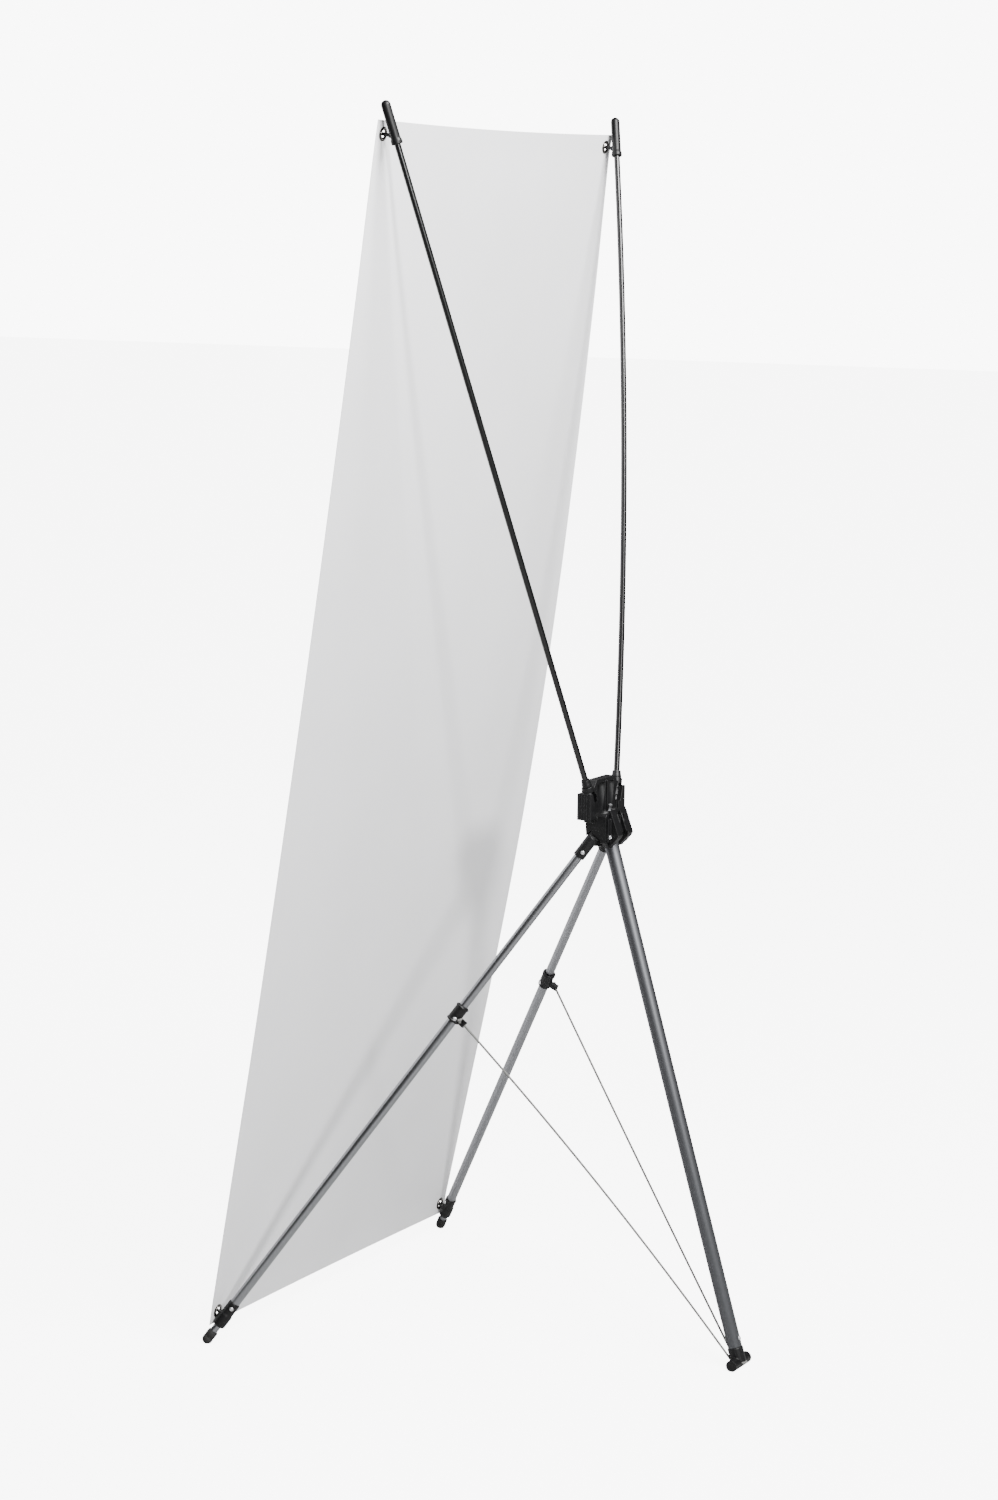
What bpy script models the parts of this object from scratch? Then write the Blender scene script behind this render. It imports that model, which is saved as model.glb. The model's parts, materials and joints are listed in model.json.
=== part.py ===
"""X-frame banner stand: a moulded hub carries two bowed rods and three folding legs, and a sheet with four
eyelets hangs on four hooks. Metres, +Z up. The sheet's printed side looks along -Y and the third leg stands
behind it, along +Y. Left and right are as seen from the front, so right is +X.
"""

from math import cos, pi, radians, sin

import bmesh
import bpy
from mathutils import Matrix, Vector

# Sheet and eyelets
SHEET_WIDTH = 0.600
SHEET_HEIGHT = 1.600
SHEET_THICKNESS = 0.0008
SHEET_LEAN = radians(9.15)
SHEET_FOOT_Z = 0.026
SHEET_BELLY_RIGHT = 0.009  # how far the right edge bows to the rear at mid-height
SHEET_BELLY_LEFT = 0.030
SHEET_TOP_SAG = 0.0037
EYELET_INSET_X = 0.015
EYELET_INSET_V = 0.017
EYELET_BORE_R = 0.0053
EYELET_BARREL_R = 0.0061
EYELET_FLANGE_R = 0.0090
EYELET_PLATE = 0.0008
HOOK_STANDOFF = 0.018  # from the sheet to a hook's axis, behind it
PEG_R = 0.0023
PEG_PROUD = 0.006

# Hub
HUB_Y = 0.4415
HUB_Z = 0.7166
HUB_HALF_WIDTH = 0.034
HUB_LOWER_HALF = 0.030
HUB_TOP = 0.050
HUB_BOTTOM = -0.040
HUB_FRONT = -0.031  # front face
HUB_PLATE_REAR = -0.017  # rear face of the upper half, between the two rods
HUB_REAR = 0.0  # rear face of the lower half, where the cover sits
HUB_STEP = 0.006  # height at which the lower half begins
COVER_HALF = 0.021
COVER_DEPTH = 0.014
COVER_FLANGE = 0.0275
SCREW_X = 0.0240
SCREW_Z = -0.0240
SCREW_R = 0.0013
SCREW_HEAD_R = 0.0028

# Rods
ROD_R = 0.004
ROD_BASE_X = 0.042
ROD_BASE_Y = -0.024
ROD_BASE_Z = 0.049
ROD_BOW_X = 0.010
ROD_BOW_Y = 0.006
ROD_INTO_HUB = 0.036  # length of rod below the mouth of its socket
ROD_INTO_HOOK = 0.028
ROD_BLOCK_IN = 0.012  # the side block, inwards and outwards of the rod
ROD_BLOCK_OUT = 0.005
FERRULE_R = 0.0056
FERRULE_DOWN = 0.012
FERRULE_UP = 0.004
FERRULE_FLANGE_R = 0.0066
HOOK_CAP_R = 0.00575
HOOK_CAP_ABOVE = 0.041
HOOK_CAP_BELOW = 0.014

# Front legs
FOOT_INSIDE = 0.001  # how far a foot stands inside the line of the sheet's edge
FOOT_X = SHEET_WIDTH / 2 - FOOT_INSIDE
FOOT_Y = -0.004
FOOT_R = 0.007
FOOT_HEIGHT = 0.0058  # the round end is worn flat where it stands
LEG_PIVOT_X = 0.020
LEG_PIVOT_Y = -0.015
LEG_PIVOT_Z = -0.016
UPPER_TUBE_R = 0.0060
LOWER_TUBE_R = 0.0065
TUBE_WALL = 0.0010
STUB_R = 0.0045
CLAMP_START = 0.024  # distances along a front leg, from the centre of its round end
CLAMP_LENGTH = 0.038
CLAMP_R = 0.0080
COLLAR_AT = 0.556
COLLAR_LENGTH = 0.025
COLLAR_R = 0.0085
SLEEVE_R = 0.0080
SLEEVE_LENGTH = 0.030
TONGUE_REACH = 0.015  # from the hinge to the end of the sleeve that takes the tube
TONGUE_THICK = 0.0070
KNUCKLE_RIVET = TONGUE_REACH + SLEEVE_LENGTH * 0.72
LUG_REACH = 0.0105  # the lug that takes the cord, from the collar's face
LOWER_PEG_BACK = 0.014

# Rear leg
REAR_PIVOT_Y = -0.0145
REAR_PIVOT_Z = -0.0135
REAR_TUBE_R = 0.0095
REAR_TUBE_WALL = 0.0012
REAR_TUBE_TOP = 0.0075
REAR_RIVET_AT = 0.0125
REAR_TONGUE_THICK = 0.010
REAR_TONGUE_R = 0.0070
REAR_FOLDED = radians(2.1)  # lean left when folded, so that the crossbar clears the front legs
REAR_FOOT_Y = 0.6386
REAR_FOOT_HALF = 0.023
REAR_FOOT_R = 0.0078
REAR_FOOT_Z = 0.0072
REAR_NECK = 0.012

# Fasteners and cords
PIN_R = 0.0020
PIN_LENGTH = 0.018
REAR_PIN_LENGTH = 0.023
RIVET_R = 0.0015
RIVET_HEAD_R = 0.0027
RIVET_HEAD = 0.0009
CORD_R = 0.0015
CORD_BOW = 0.009
CORD_LIFT = {1: 1.0, -1: -0.15}  # share of the bow, right and left
CORD_HOLE_X = 0.0045
CORD_HOLE_R = 0.0021
GAP = 0.0003
ROD_GAP = 0.0005  # round a rod in its ferrule and its hook, where it still bends a little

NEAR_ROUND = 20
SMALL_ROUND = 12


def clearScene():
    for obj in list(bpy.data.objects):
        bpy.data.objects.remove(obj, do_unlink=True)


def makeMaterial(name, colour, roughness, metallic):
    material = bpy.data.materials.new(name)
    material.use_nodes = True
    shader = material.node_tree.nodes["Principled BSDF"]
    shader.inputs["Base Color"].default_value = (*colour, 1.0)
    shader.inputs["Roughness"].default_value = roughness
    shader.inputs["Metallic"].default_value = metallic
    return material


def makeEmpty(name, place, parent=None):
    empty = bpy.data.objects.new(name, None)
    empty.location = place
    empty.empty_display_size = 0.03
    if parent:
        empty.parent = parent
    bpy.context.scene.collection.objects.link(empty)
    return empty


def makeObject(name, bm, material=None, joint=None):
    """Makes an object from bm, whose points are in the stand's frame, and hangs it on a joint's empty."""
    bmesh.ops.recalc_face_normals(bm, faces=bm.faces)
    mesh = bpy.data.meshes.new(name)
    bm.to_mesh(mesh)
    bm.free()
    mesh.shade_smooth()
    mesh.set_sharp_from_angle(angle=radians(35))
    obj = bpy.data.objects.new(name, mesh)
    bpy.context.scene.collection.objects.link(obj)
    if material:
        mesh.materials.append(material)
    if joint:
        obj.parent = joint
        if joint.parent:
            obj.matrix_parent_inverse = Matrix.Translation(-joint.location)
    return obj


def frameAlong(origin, axis, side=Vector((1, 0, 0))):
    """Matrix whose Z runs along axis and whose X is as near to side as it can be."""
    up = Vector(axis).normalized()
    across = (side - up * side.dot(up)).normalized()
    third = up.cross(across)
    turn = Matrix((across, third, up)).transposed().to_4x4()
    return Matrix.Translation(origin) @ turn


def turnedMesh(profile, matrix, steps=SMALL_ROUND):
    """Turns a profile of (radius, height) pairs about Z. A profile that starts and ends on the axis closes
    itself there; any other is a loop."""
    bm = bmesh.new()
    rings = []
    for radius, height in profile:
        if radius == 0:
            rings.append([bm.verts.new((0, 0, height))])
            continue
        angles = [2 * pi * i / steps for i in range(steps)]
        rings.append([bm.verts.new((radius * cos(a), radius * sin(a), height)) for a in angles])
    loop = len(rings[0]) > 1
    count = len(rings)
    for i in range(count if loop else count - 1):
        low, high = rings[i], rings[(i + 1) % count]
        for j in range(steps):
            k = (j + 1) % steps
            corners = [low[j % len(low)], low[k % len(low)], high[k % len(high)], high[j % len(high)]]
            corners = [v for n, v in enumerate(corners) if v not in corners[:n]]
            if len(corners) > 2:
                bm.faces.new(corners)
    bmesh.ops.transform(bm, matrix=matrix, verts=bm.verts)
    return bm


def turned(name, profile, matrix, material=None, joint=None, steps=SMALL_ROUND):
    return makeObject(name, turnedMesh(profile, matrix, steps), material, joint)


def rodProfile(radius, low, high, edge=0.0):
    """Profile of a solid cylinder, with its two ends chamfered by edge."""
    if not edge:
        return [(0, low), (radius, low), (radius, high), (0, high)]
    return [(0, low), (radius - edge, low), (radius, low + edge), (radius, high - edge), (radius - edge, high), (0, high)]


def tubeProfile(radius, bore, low, high):
    return [(bore, low), (radius, low), (radius, high), (bore, high)]


def box(name, low, high, matrix=None, material=None, joint=None):
    bm = bmesh.new()
    bmesh.ops.create_cube(bm, size=1)
    low, high = Vector(low), Vector(high)
    size = high - low
    place = Matrix.Translation((low + high) / 2) @ Matrix.Diagonal((*size, 1))
    bmesh.ops.transform(bm, matrix=(matrix or Matrix()) @ place, verts=bm.verts)
    return makeObject(name, bm, material, joint)


def prism(name, outline, low, high, matrix, material=None, joint=None):
    """Extrudes an outline of (x, y) pairs from low to high along the matrix's Z."""
    bm = bmesh.new()
    base = [bm.verts.new((x, y, low)) for x, y in outline]
    top = [bm.verts.new((x, y, high)) for x, y in outline]
    bm.faces.new(base)
    bm.faces.new(top)
    for i in range(len(outline)):
        k = (i + 1) % len(outline)
        bm.faces.new((base[i], base[k], top[k], top[i]))
    bmesh.ops.transform(bm, matrix=matrix, verts=bm.verts)
    return makeObject(name, bm, material, joint)


def combine(target, helpers, operation):
    """Applies a Boolean of each helper to target, then removes the helpers."""
    for helper in helpers:
        modifier = target.modifiers.new(operation.lower(), "BOOLEAN")
        modifier.object = helper
        modifier.operation = operation
        modifier.solver = "MANIFOLD"
        bpy.context.view_layer.update()
        graph = bpy.context.evaluated_depsgraph_get()
        mesh = bpy.data.meshes.new_from_object(target.evaluated_get(graph))
        target.modifiers.clear()
        target.data = mesh
        bpy.data.objects.remove(helper, do_unlink=True)
    target.data.shade_smooth()
    target.data.set_sharp_from_angle(angle=radians(35))
    return target


def cut(target, *helpers):
    return combine(target, helpers, "DIFFERENCE")


def join(target, *helpers):
    return combine(target, helpers, "UNION")


def cylinderHelper(start, end, radius, steps=NEAR_ROUND):
    axis = Vector(end) - Vector(start)
    side = Vector((1, 0, 0)) if abs(axis.normalized().x) < 0.9 else Vector((0, 0, 1))
    return turned("helper", rodProfile(radius, 0, axis.length), frameAlong(start, axis, side), steps=steps)


def hubPoint(x, y, z):
    return Vector((x, HUB_Y + y, HUB_Z + z))


def sheetPoint(x, v, forward=0.0):
    """Point of the sheet's flat plane at x and at height v up the sheet, moved forward off it."""
    y = v * sin(SHEET_LEAN) - forward * cos(SHEET_LEAN)
    z = SHEET_FOOT_Z + v * cos(SHEET_LEAN) + forward * sin(SHEET_LEAN)
    return Vector((x, y, z))


def flatEnd():
    """Height of the flat band at each end of the sheet, which takes the eyelets."""
    return EYELET_INSET_V + EYELET_FLANGE_R + 0.003


def sheetBelly(x, v):
    """How far the sheet bows to the rear, nothing at its two held ends."""
    share = (x / SHEET_WIDTH) + 0.5
    deepest = SHEET_BELLY_LEFT + (SHEET_BELLY_RIGHT - SHEET_BELLY_LEFT) * share
    rise = (v - flatEnd()) / (SHEET_HEIGHT - 2 * flatEnd())
    return deepest * sin(pi * min(1.0, max(0.0, rise)))


SHEET_FORWARD = Vector((0, -cos(SHEET_LEAN), sin(SHEET_LEAN)))


def makeSheet(material, joint):
    columns, rows = 6, 16
    bowed = SHEET_HEIGHT - 2 * flatEnd()
    heights = [0] + [flatEnd() + bowed * j / (rows - 2) for j in range(rows - 1)] + [SHEET_HEIGHT]
    bm = bmesh.new()
    layers = []
    for offset in (SHEET_THICKNESS / 2, -SHEET_THICKNESS / 2):
        grid = []
        for j in range(rows + 1):
            line = []
            for i in range(columns + 1):
                x = SHEET_WIDTH * (i / columns - 0.5)
                v = heights[j]
                sag = SHEET_TOP_SAG * (1 - (2 * x / SHEET_WIDTH) ** 2) * v / SHEET_HEIGHT
                line.append(bm.verts.new(sheetPoint(x, v - sag, offset - sheetBelly(x, v))))
            grid.append(line)
        layers.append(grid)
    front, back = layers
    for j in range(rows):
        for i in range(columns):
            bm.faces.new((front[j][i], front[j][i + 1], front[j + 1][i + 1], front[j + 1][i]))
            bm.faces.new((back[j][i], back[j + 1][i], back[j + 1][i + 1], back[j][i + 1]))
    rim = [(0, i) for i in range(columns)] + [(j, columns) for j in range(rows)]
    rim += [(rows, i) for i in range(columns, 0, -1)] + [(j, 0) for j in range(rows, 0, -1)]
    for n, (j, i) in enumerate(rim):
        jj, ii = rim[(n + 1) % len(rim)]
        bm.faces.new((front[j][i], back[j][i], back[jj][ii], front[jj][ii]))
    sheet = makeObject("banner_sheet", bm, material, joint)
    holes = []
    for x, v in eyeletPlaces().values():
        centre = sheetPoint(x, v, -sheetBelly(x, v))
        low = centre - SHEET_FORWARD * 0.01
        holes.append(cylinderHelper(low, centre + SHEET_FORWARD * 0.01, EYELET_BARREL_R + GAP, SMALL_ROUND))
    return cut(sheet, *holes)


def eyeletPlaces():
    x = SHEET_WIDTH / 2 - EYELET_INSET_X
    top = SHEET_HEIGHT - EYELET_INSET_V
    return {
        "top_right": (x, top),
        "top_left": (-x, top),
        "bottom_right": (x, EYELET_INSET_V),
        "bottom_left": (-x, EYELET_INSET_V),
    }


def makeEyelets(material, joint):
    """An eyelet's flange lies on the front, its barrel goes through the sheet and a washer, and its lip curls
    over the washer at the back."""
    face = SHEET_THICKNESS / 2 + GAP
    washerBack = -face - EYELET_PLATE
    lip = washerBack - GAP
    for name, (x, v) in eyeletPlaces().items():
        matrix = frameAlong(sheetPoint(x, v), SHEET_FORWARD)
        eyelet = [
            (EYELET_BORE_R, lip - EYELET_PLATE),
            (EYELET_BARREL_R + 0.0008, lip - EYELET_PLATE),
            (EYELET_BARREL_R + 0.0013, lip),
            (EYELET_BARREL_R, lip),
            (EYELET_BARREL_R, face),
            (EYELET_FLANGE_R - 0.0003, face),
            (EYELET_FLANGE_R, face + EYELET_PLATE / 2),
            (EYELET_FLANGE_R - 0.0006, face + EYELET_PLATE),
            (EYELET_BORE_R + 0.0004, face + EYELET_PLATE),
            (EYELET_BORE_R, face + EYELET_PLATE / 2),
        ]
        turned(f"eyelet_{name}", eyelet, matrix, material, joint)
        washer = tubeProfile(EYELET_FLANGE_R, EYELET_BARREL_R + GAP, washerBack, -face)
        turned(f"eyelet_washer_{name}", washer, matrix, material, joint)


def rodShape(side):
    """Base, hook point and the tangents at both ends of a rod, which bows out and back between them."""
    base = hubPoint(side * ROD_BASE_X, ROD_BASE_Y, ROD_BASE_Z)
    x = side * (SHEET_WIDTH / 2 - EYELET_INSET_X)
    hook = sheetPoint(x, SHEET_HEIGHT - EYELET_INSET_V, -HOOK_STANDOFF)
    bow = Vector((side * ROD_BOW_X, ROD_BOW_Y, 0))
    chord = hook - base
    return base, hook, bow, (chord + 4 * bow).normalized(), (chord - 4 * bow).normalized()


def makeRod(side, name, material, joint):
    base, hook, bow, startWay, endWay = rodShape(side)
    steps = 18
    points = [base - startWay * ROD_INTO_HUB]
    for i in range(steps + 1):
        s = i / steps
        points.append(base + (hook - base) * s + bow * (4 * s * (1 - s)))
    points.append(hook + endWay * ROD_INTO_HOOK)
    return roundBar(name, points, ROD_R, 4, material, joint)


def roundBar(name, points, radius, resolution, material, joint):
    curve = bpy.data.curves.new(name, "CURVE")
    curve.dimensions = "3D"
    curve.bevel_depth = radius
    curve.bevel_resolution = resolution
    curve.use_fill_caps = True
    spline = curve.splines.new("POLY")
    spline.points.add(len(points) - 1)
    for place, point in zip(spline.points, points):
        place.co = (*point, 1)
    curve.materials.append(material)
    obj = bpy.data.objects.new(name, curve)
    bpy.context.scene.collection.objects.link(obj)
    obj.parent = joint
    if joint.parent:
        obj.matrix_parent_inverse = Matrix.Translation(-joint.location)
    return obj


def makeTopHook(side, name, material, joint):
    _, hook, _, _, way = rodShape(side)
    matrix = frameAlong(hook, way)
    bore = ROD_R + ROD_GAP
    low, high = -HOOK_CAP_BELOW, HOOK_CAP_ABOVE
    profile = [(bore, low), (HOOK_CAP_R + 0.001, low), (HOOK_CAP_R + 0.001, low + 0.004), (HOOK_CAP_R, low + 0.007)]
    dome = 4
    centre = high - HOOK_CAP_R
    for i in range(dome):
        angle = (pi / 2) * i / dome
        profile.append((HOOK_CAP_R * cos(angle), centre + HOOK_CAP_R * sin(angle)))
    profile += [(0, high), (0, ROD_INTO_HOOK + GAP), (bore, ROD_INTO_HOOK + GAP)]
    cap = makeObject(name, closedCapMesh(profile, matrix), material, joint)
    lean = SHEET_FORWARD.angle(way)
    start = hook + SHEET_FORWARD * ((bore + 0.0006 + PEG_R * abs(cos(lean))) / sin(lean))
    end = hook + SHEET_FORWARD * (HOOK_STANDOFF + PEG_PROUD)
    return join(cap, pegHelper(start, end))


def closedCapMesh(profile, matrix, steps=SMALL_ROUND):
    """Turns a blind-bored profile, which meets the axis twice: at its domed end and at the floor of its bore."""
    first = [p for p in profile if p[0] > 0]
    domeEnd = next(height for radius, height in profile if radius == 0)
    floor = [height for radius, height in profile if radius == 0][1]
    bm = bmesh.new()
    rings = []
    for radius, height in first:
        angles = [2 * pi * i / steps for i in range(steps)]
        rings.append([bm.verts.new((radius * cos(a), radius * sin(a), height)) for a in angles])
    pole, base = bm.verts.new((0, 0, domeEnd)), bm.verts.new((0, 0, floor))
    last = len(rings) - 1
    for j in range(steps):
        k = (j + 1) % steps
        for i in range(last - 1):
            bm.faces.new((rings[i][j], rings[i][k], rings[i + 1][k], rings[i + 1][j]))
        bm.faces.new((rings[last - 1][j], rings[last - 1][k], pole))
        bm.faces.new((base, rings[last][k], rings[last][j]))
        bm.faces.new((rings[last][j], rings[last][k], rings[0][k], rings[0][j]))
    bmesh.ops.transform(bm, matrix=matrix, verts=bm.verts)
    return bm


def pegHelper(start, end):
    length = (end - start).length
    profile = [(0, 0), (PEG_R, 0), (PEG_R, length - 0.001), (PEG_R - 0.001, length), (0, length)]
    return turned("helper", profile, frameAlong(start, end - start), steps=SMALL_ROUND)


def legShape(side):
    """Hinge point, end of the axis, unit way from the end up to the hinge, the length and the hinge's axis."""
    pivot = hubPoint(side * LEG_PIVOT_X, LEG_PIVOT_Y, LEG_PIVOT_Z)
    end = Vector((side * FOOT_X, FOOT_Y, FOOT_HEIGHT))
    way = (pivot - end).normalized()
    flat = Vector((way.x, way.y, 0)).normalized()
    hinge = Vector((flat.y, -flat.x, 0)) if flat.y > 0 else Vector((-flat.y, flat.x, 0))
    return pivot, end, way, (pivot - end).length, hinge


def rivet(name, centre, axis, halfSpan, material, joint):
    """A rivet through a round piece whose outer radius is halfSpan, with a low round head at each end."""
    reach = halfSpan + GAP
    top = reach + RIVET_HEAD
    half = [(RIVET_R, reach), (RIVET_HEAD_R, reach), (RIVET_HEAD_R * 0.8, top - 0.0002), (0, top)]
    profile = [(r, -z) for r, z in reversed(half)] + half
    matrix = frameAlong(centre, axis, Vector((0, 0, 1)))
    return turned(name, profile, matrix, material, joint, 12)


def rivetHole(centre, axis, halfSpan):
    reach = Vector(axis).normalized() * (halfSpan + 0.004)
    return cylinderHelper(centre - reach, centre + reach, RIVET_R + GAP, 12)


def tongueMesh(centre, way, hinge, reach, thick, radius, material, name, joint):
    """Flat tongue round the hinge's axis, with its straight sides running down along the leg."""
    matrix = frameAlong(centre, hinge, -way)
    outline = [(reach, -radius), (reach, radius)]
    arc = 10
    for i in range(arc + 1):
        angle = pi / 2 + pi * i / arc
        outline.append((radius * cos(angle), radius * sin(angle)))
    return prism(name, outline, -thick / 2, thick / 2, matrix, material, joint)


def makeKnuckle(side, name, material, joint):
    pivot, end, way, length, hinge = legShape(side)
    knuckle = tongueMesh(pivot, way, hinge, TONGUE_REACH, TONGUE_THICK, 0.0075, material, name, joint)
    matrix = frameAlong(pivot, -way)
    low, high = TONGUE_REACH - 0.002, TONGUE_REACH + SLEEVE_LENGTH
    seat = TONGUE_REACH + 0.004
    profile = [(0, low), (SLEEVE_R - 0.001, low), (SLEEVE_R, low + 0.001), (SLEEVE_R, high), (UPPER_TUBE_R + GAP, high),
               (UPPER_TUBE_R + GAP, seat), (0, seat)]
    join(knuckle, turned("helper", profile, matrix, steps=NEAR_ROUND))
    pinReach = hinge * 0.02
    hole = cylinderHelper(pivot - pinReach, pivot + pinReach, PIN_R + GAP, SMALL_ROUND)
    return cut(knuckle, hole, rivetHole(pivot - way * KNUCKLE_RIVET, hinge, SLEEVE_R))


def makeFrontLeg(side, word, materials, joint):
    pivot, end, way, length, hinge = legShape(side)
    plastic, silver, rubber, steel = (materials[k] for k in ("plastic", "silver", "rubber", "steel"))
    up = frameAlong(end, way)
    makeKnuckle(side, f"leg_knuckle_{word}", plastic, joint)
    rivetAt = pivot - way * KNUCKLE_RIVET
    rivet(f"knuckle_rivet_{word}", rivetAt, hinge, SLEEVE_R, steel, joint)

    tubeTop = length - TONGUE_REACH - 0.004 - GAP
    upper = turned(f"upper_tube_{word}", tubeProfile(UPPER_TUBE_R, UPPER_TUBE_R - TUBE_WALL, COLLAR_AT + GAP, tubeTop),
                   up, silver, joint, NEAR_ROUND)
    cut(upper, rivetHole(rivetAt, hinge, UPPER_TUBE_R))

    lowerEnd = CLAMP_START + 0.006
    lower = turned(f"lower_tube_{word}", tubeProfile(LOWER_TUBE_R, LOWER_TUBE_R - TUBE_WALL, lowerEnd, COLLAR_AT - GAP),
                   up, silver, joint, NEAR_ROUND)

    collarLow, collarHigh = COLLAR_AT - COLLAR_LENGTH / 2, COLLAR_AT + COLLAR_LENGTH / 2
    lowBore, highBore = LOWER_TUBE_R + GAP, UPPER_TUBE_R + GAP
    profile = [(lowBore, collarLow), (COLLAR_R - 0.0006, collarLow), (COLLAR_R, collarLow + 0.0006),
               (COLLAR_R, collarHigh - 0.0006), (COLLAR_R - 0.0006, collarHigh), (highBore, collarHigh),
               (highBore, COLLAR_AT + GAP), (lowBore, COLLAR_AT + GAP)]
    collar = turned(f"collar_{word}", profile, up, plastic, joint, NEAR_ROUND)
    join(collar, box("helper", (-0.0025, COLLAR_R - 0.0012, -0.010), (0.0025, COLLAR_R + LUG_REACH, -0.001), lugFrame(side)))
    centre, cordWay = lugHole(side)
    cut(collar, cylinderHelper(centre - cordWay * 0.008, centre + cordWay * 0.008, CORD_HOLE_R, 12))
    collarRivetAt = end + way * (COLLAR_AT - 0.007)
    cut(collar, rivetHole(collarRivetAt, hinge, COLLAR_R))
    cut(lower, rivetHole(collarRivetAt, hinge, LOWER_TUBE_R))
    rivet(f"collar_rivet_{word}", collarRivetAt, hinge, COLLAR_R, steel, joint)

    makeClamp(side, word, materials, joint)
    clampRivetAt = end + way * (CLAMP_START + CLAMP_LENGTH * 0.8)
    cut(lower, rivetHole(clampRivetAt, hinge, LOWER_TUBE_R))
    rivet(f"clamp_rivet_{word}", clampRivetAt, hinge, CLAMP_R, steel, joint)

    turned(f"foot_stub_{word}", rodProfile(STUB_R, 0.0, CLAMP_START + 0.022, 0.0004), up, silver, joint)
    bore = STUB_R + GAP
    foot = [(0, -FOOT_R)]
    for i in range(1, 6):
        angle = (pi / 2) * i / 5
        foot.append((FOOT_R * sin(angle), -FOOT_R * cos(angle)))
    foot += [(FOOT_R, 0.012), (FOOT_R - 0.0008, 0.014), (bore, 0.014), (bore, -GAP), (0, -GAP)]
    shoe = turned(f"rubber_foot_{word}", foot, up, rubber, joint, NEAR_ROUND)
    cut(shoe, box("helper", (end.x - 0.03, end.y - 0.03, -0.02), (end.x + 0.03, end.y + 0.03, 0.0)))


def lugFrame(side):
    """Frame at a collar's middle: Z runs up the leg and Y points to the rear, where the lug stands out."""
    _, end, way, _, _ = legShape(side)
    back = Vector((0, 1, 0))
    back = (back - way * back.dot(way)).normalized()
    turn = Matrix((back.cross(way), back, way)).transposed()
    return Matrix.Translation(end + way * COLLAR_AT) @ turn.to_4x4()


def cordEnd(side):
    """Mouth of the cord's hole in the front of the rear foot's crossbar."""
    return Vector((side * CORD_HOLE_X, REAR_FOOT_Y - REAR_FOOT_R - GAP, REAR_FOOT_Z + 0.001))


def lugHole(side):
    matrix = lugFrame(side)
    centre = matrix @ Vector((0, COLLAR_R + LUG_REACH - 0.004, -0.0055))
    return centre, (cordEnd(side) - centre).normalized()


def makeClamp(side, word, materials, joint):
    """Plastic clamp on the lower tube: a wider lower half, and a peg that reaches forward into the eyelet."""
    pivot, end, way, _, hinge = legShape(side)
    up = frameAlong(end, way)
    low, high = CLAMP_START, CLAMP_START + CLAMP_LENGTH
    tubeBore, stubBore = LOWER_TUBE_R + GAP, STUB_R + GAP
    step = low + 0.006 - GAP
    profile = [(stubBore, low), (CLAMP_R, low), (CLAMP_R + 0.001, low + 0.002), (CLAMP_R + 0.001, low + 0.018),
               (CLAMP_R, low + 0.021), (CLAMP_R, high - 0.001), (CLAMP_R - 0.0006, high), (tubeBore, high),
               (tubeBore, step), (stubBore, step)]
    clamp = turned(f"hook_clamp_{word}", profile, up, materials["plastic"], joint, NEAR_ROUND)
    x, v = side * (SHEET_WIDTH / 2 - EYELET_INSET_X), EYELET_INSET_V
    target = sheetPoint(x, v)
    pegWay = lowerPegWay(side)
    root = target - pegWay * LOWER_PEG_BACK
    nearest = end + way * (root - end).dot(way)
    outward = (root - nearest).normalized()
    root = nearest + outward * (LOWER_TUBE_R + GAP + 0.0006)
    tip = target + pegWay * (PEG_PROUD * 0.8)
    join(clamp, pegHelper(root, tip))
    cut(clamp, cylinderHelper(end + way * step, end + way * (high + 0.01), tubeBore),
        cylinderHelper(end + way * (low - 0.01), end + way * (step + 0.001), stubBore))
    clampRivetAt = end + way * (CLAMP_START + CLAMP_LENGTH * 0.8)
    return cut(clamp, rivetHole(clampRivetAt, hinge, CLAMP_R))


def lowerPegWay(side):
    """Between straight out of the sheet and the way the foot comes back from when the leg folds."""
    pivot, end, way, _, hinge = legShape(side)
    fold = hinge.cross(end - pivot).normalized()
    if fold.y < 0:
        fold = -fold
    return (SHEET_FORWARD - fold).normalized()


def rearShape():
    pivot = hubPoint(0, REAR_PIVOT_Y, REAR_PIVOT_Z)
    end = Vector((0, REAR_FOOT_Y, REAR_FOOT_Z))
    return pivot, end, (pivot - end).normalized(), (pivot - end).length


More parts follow.
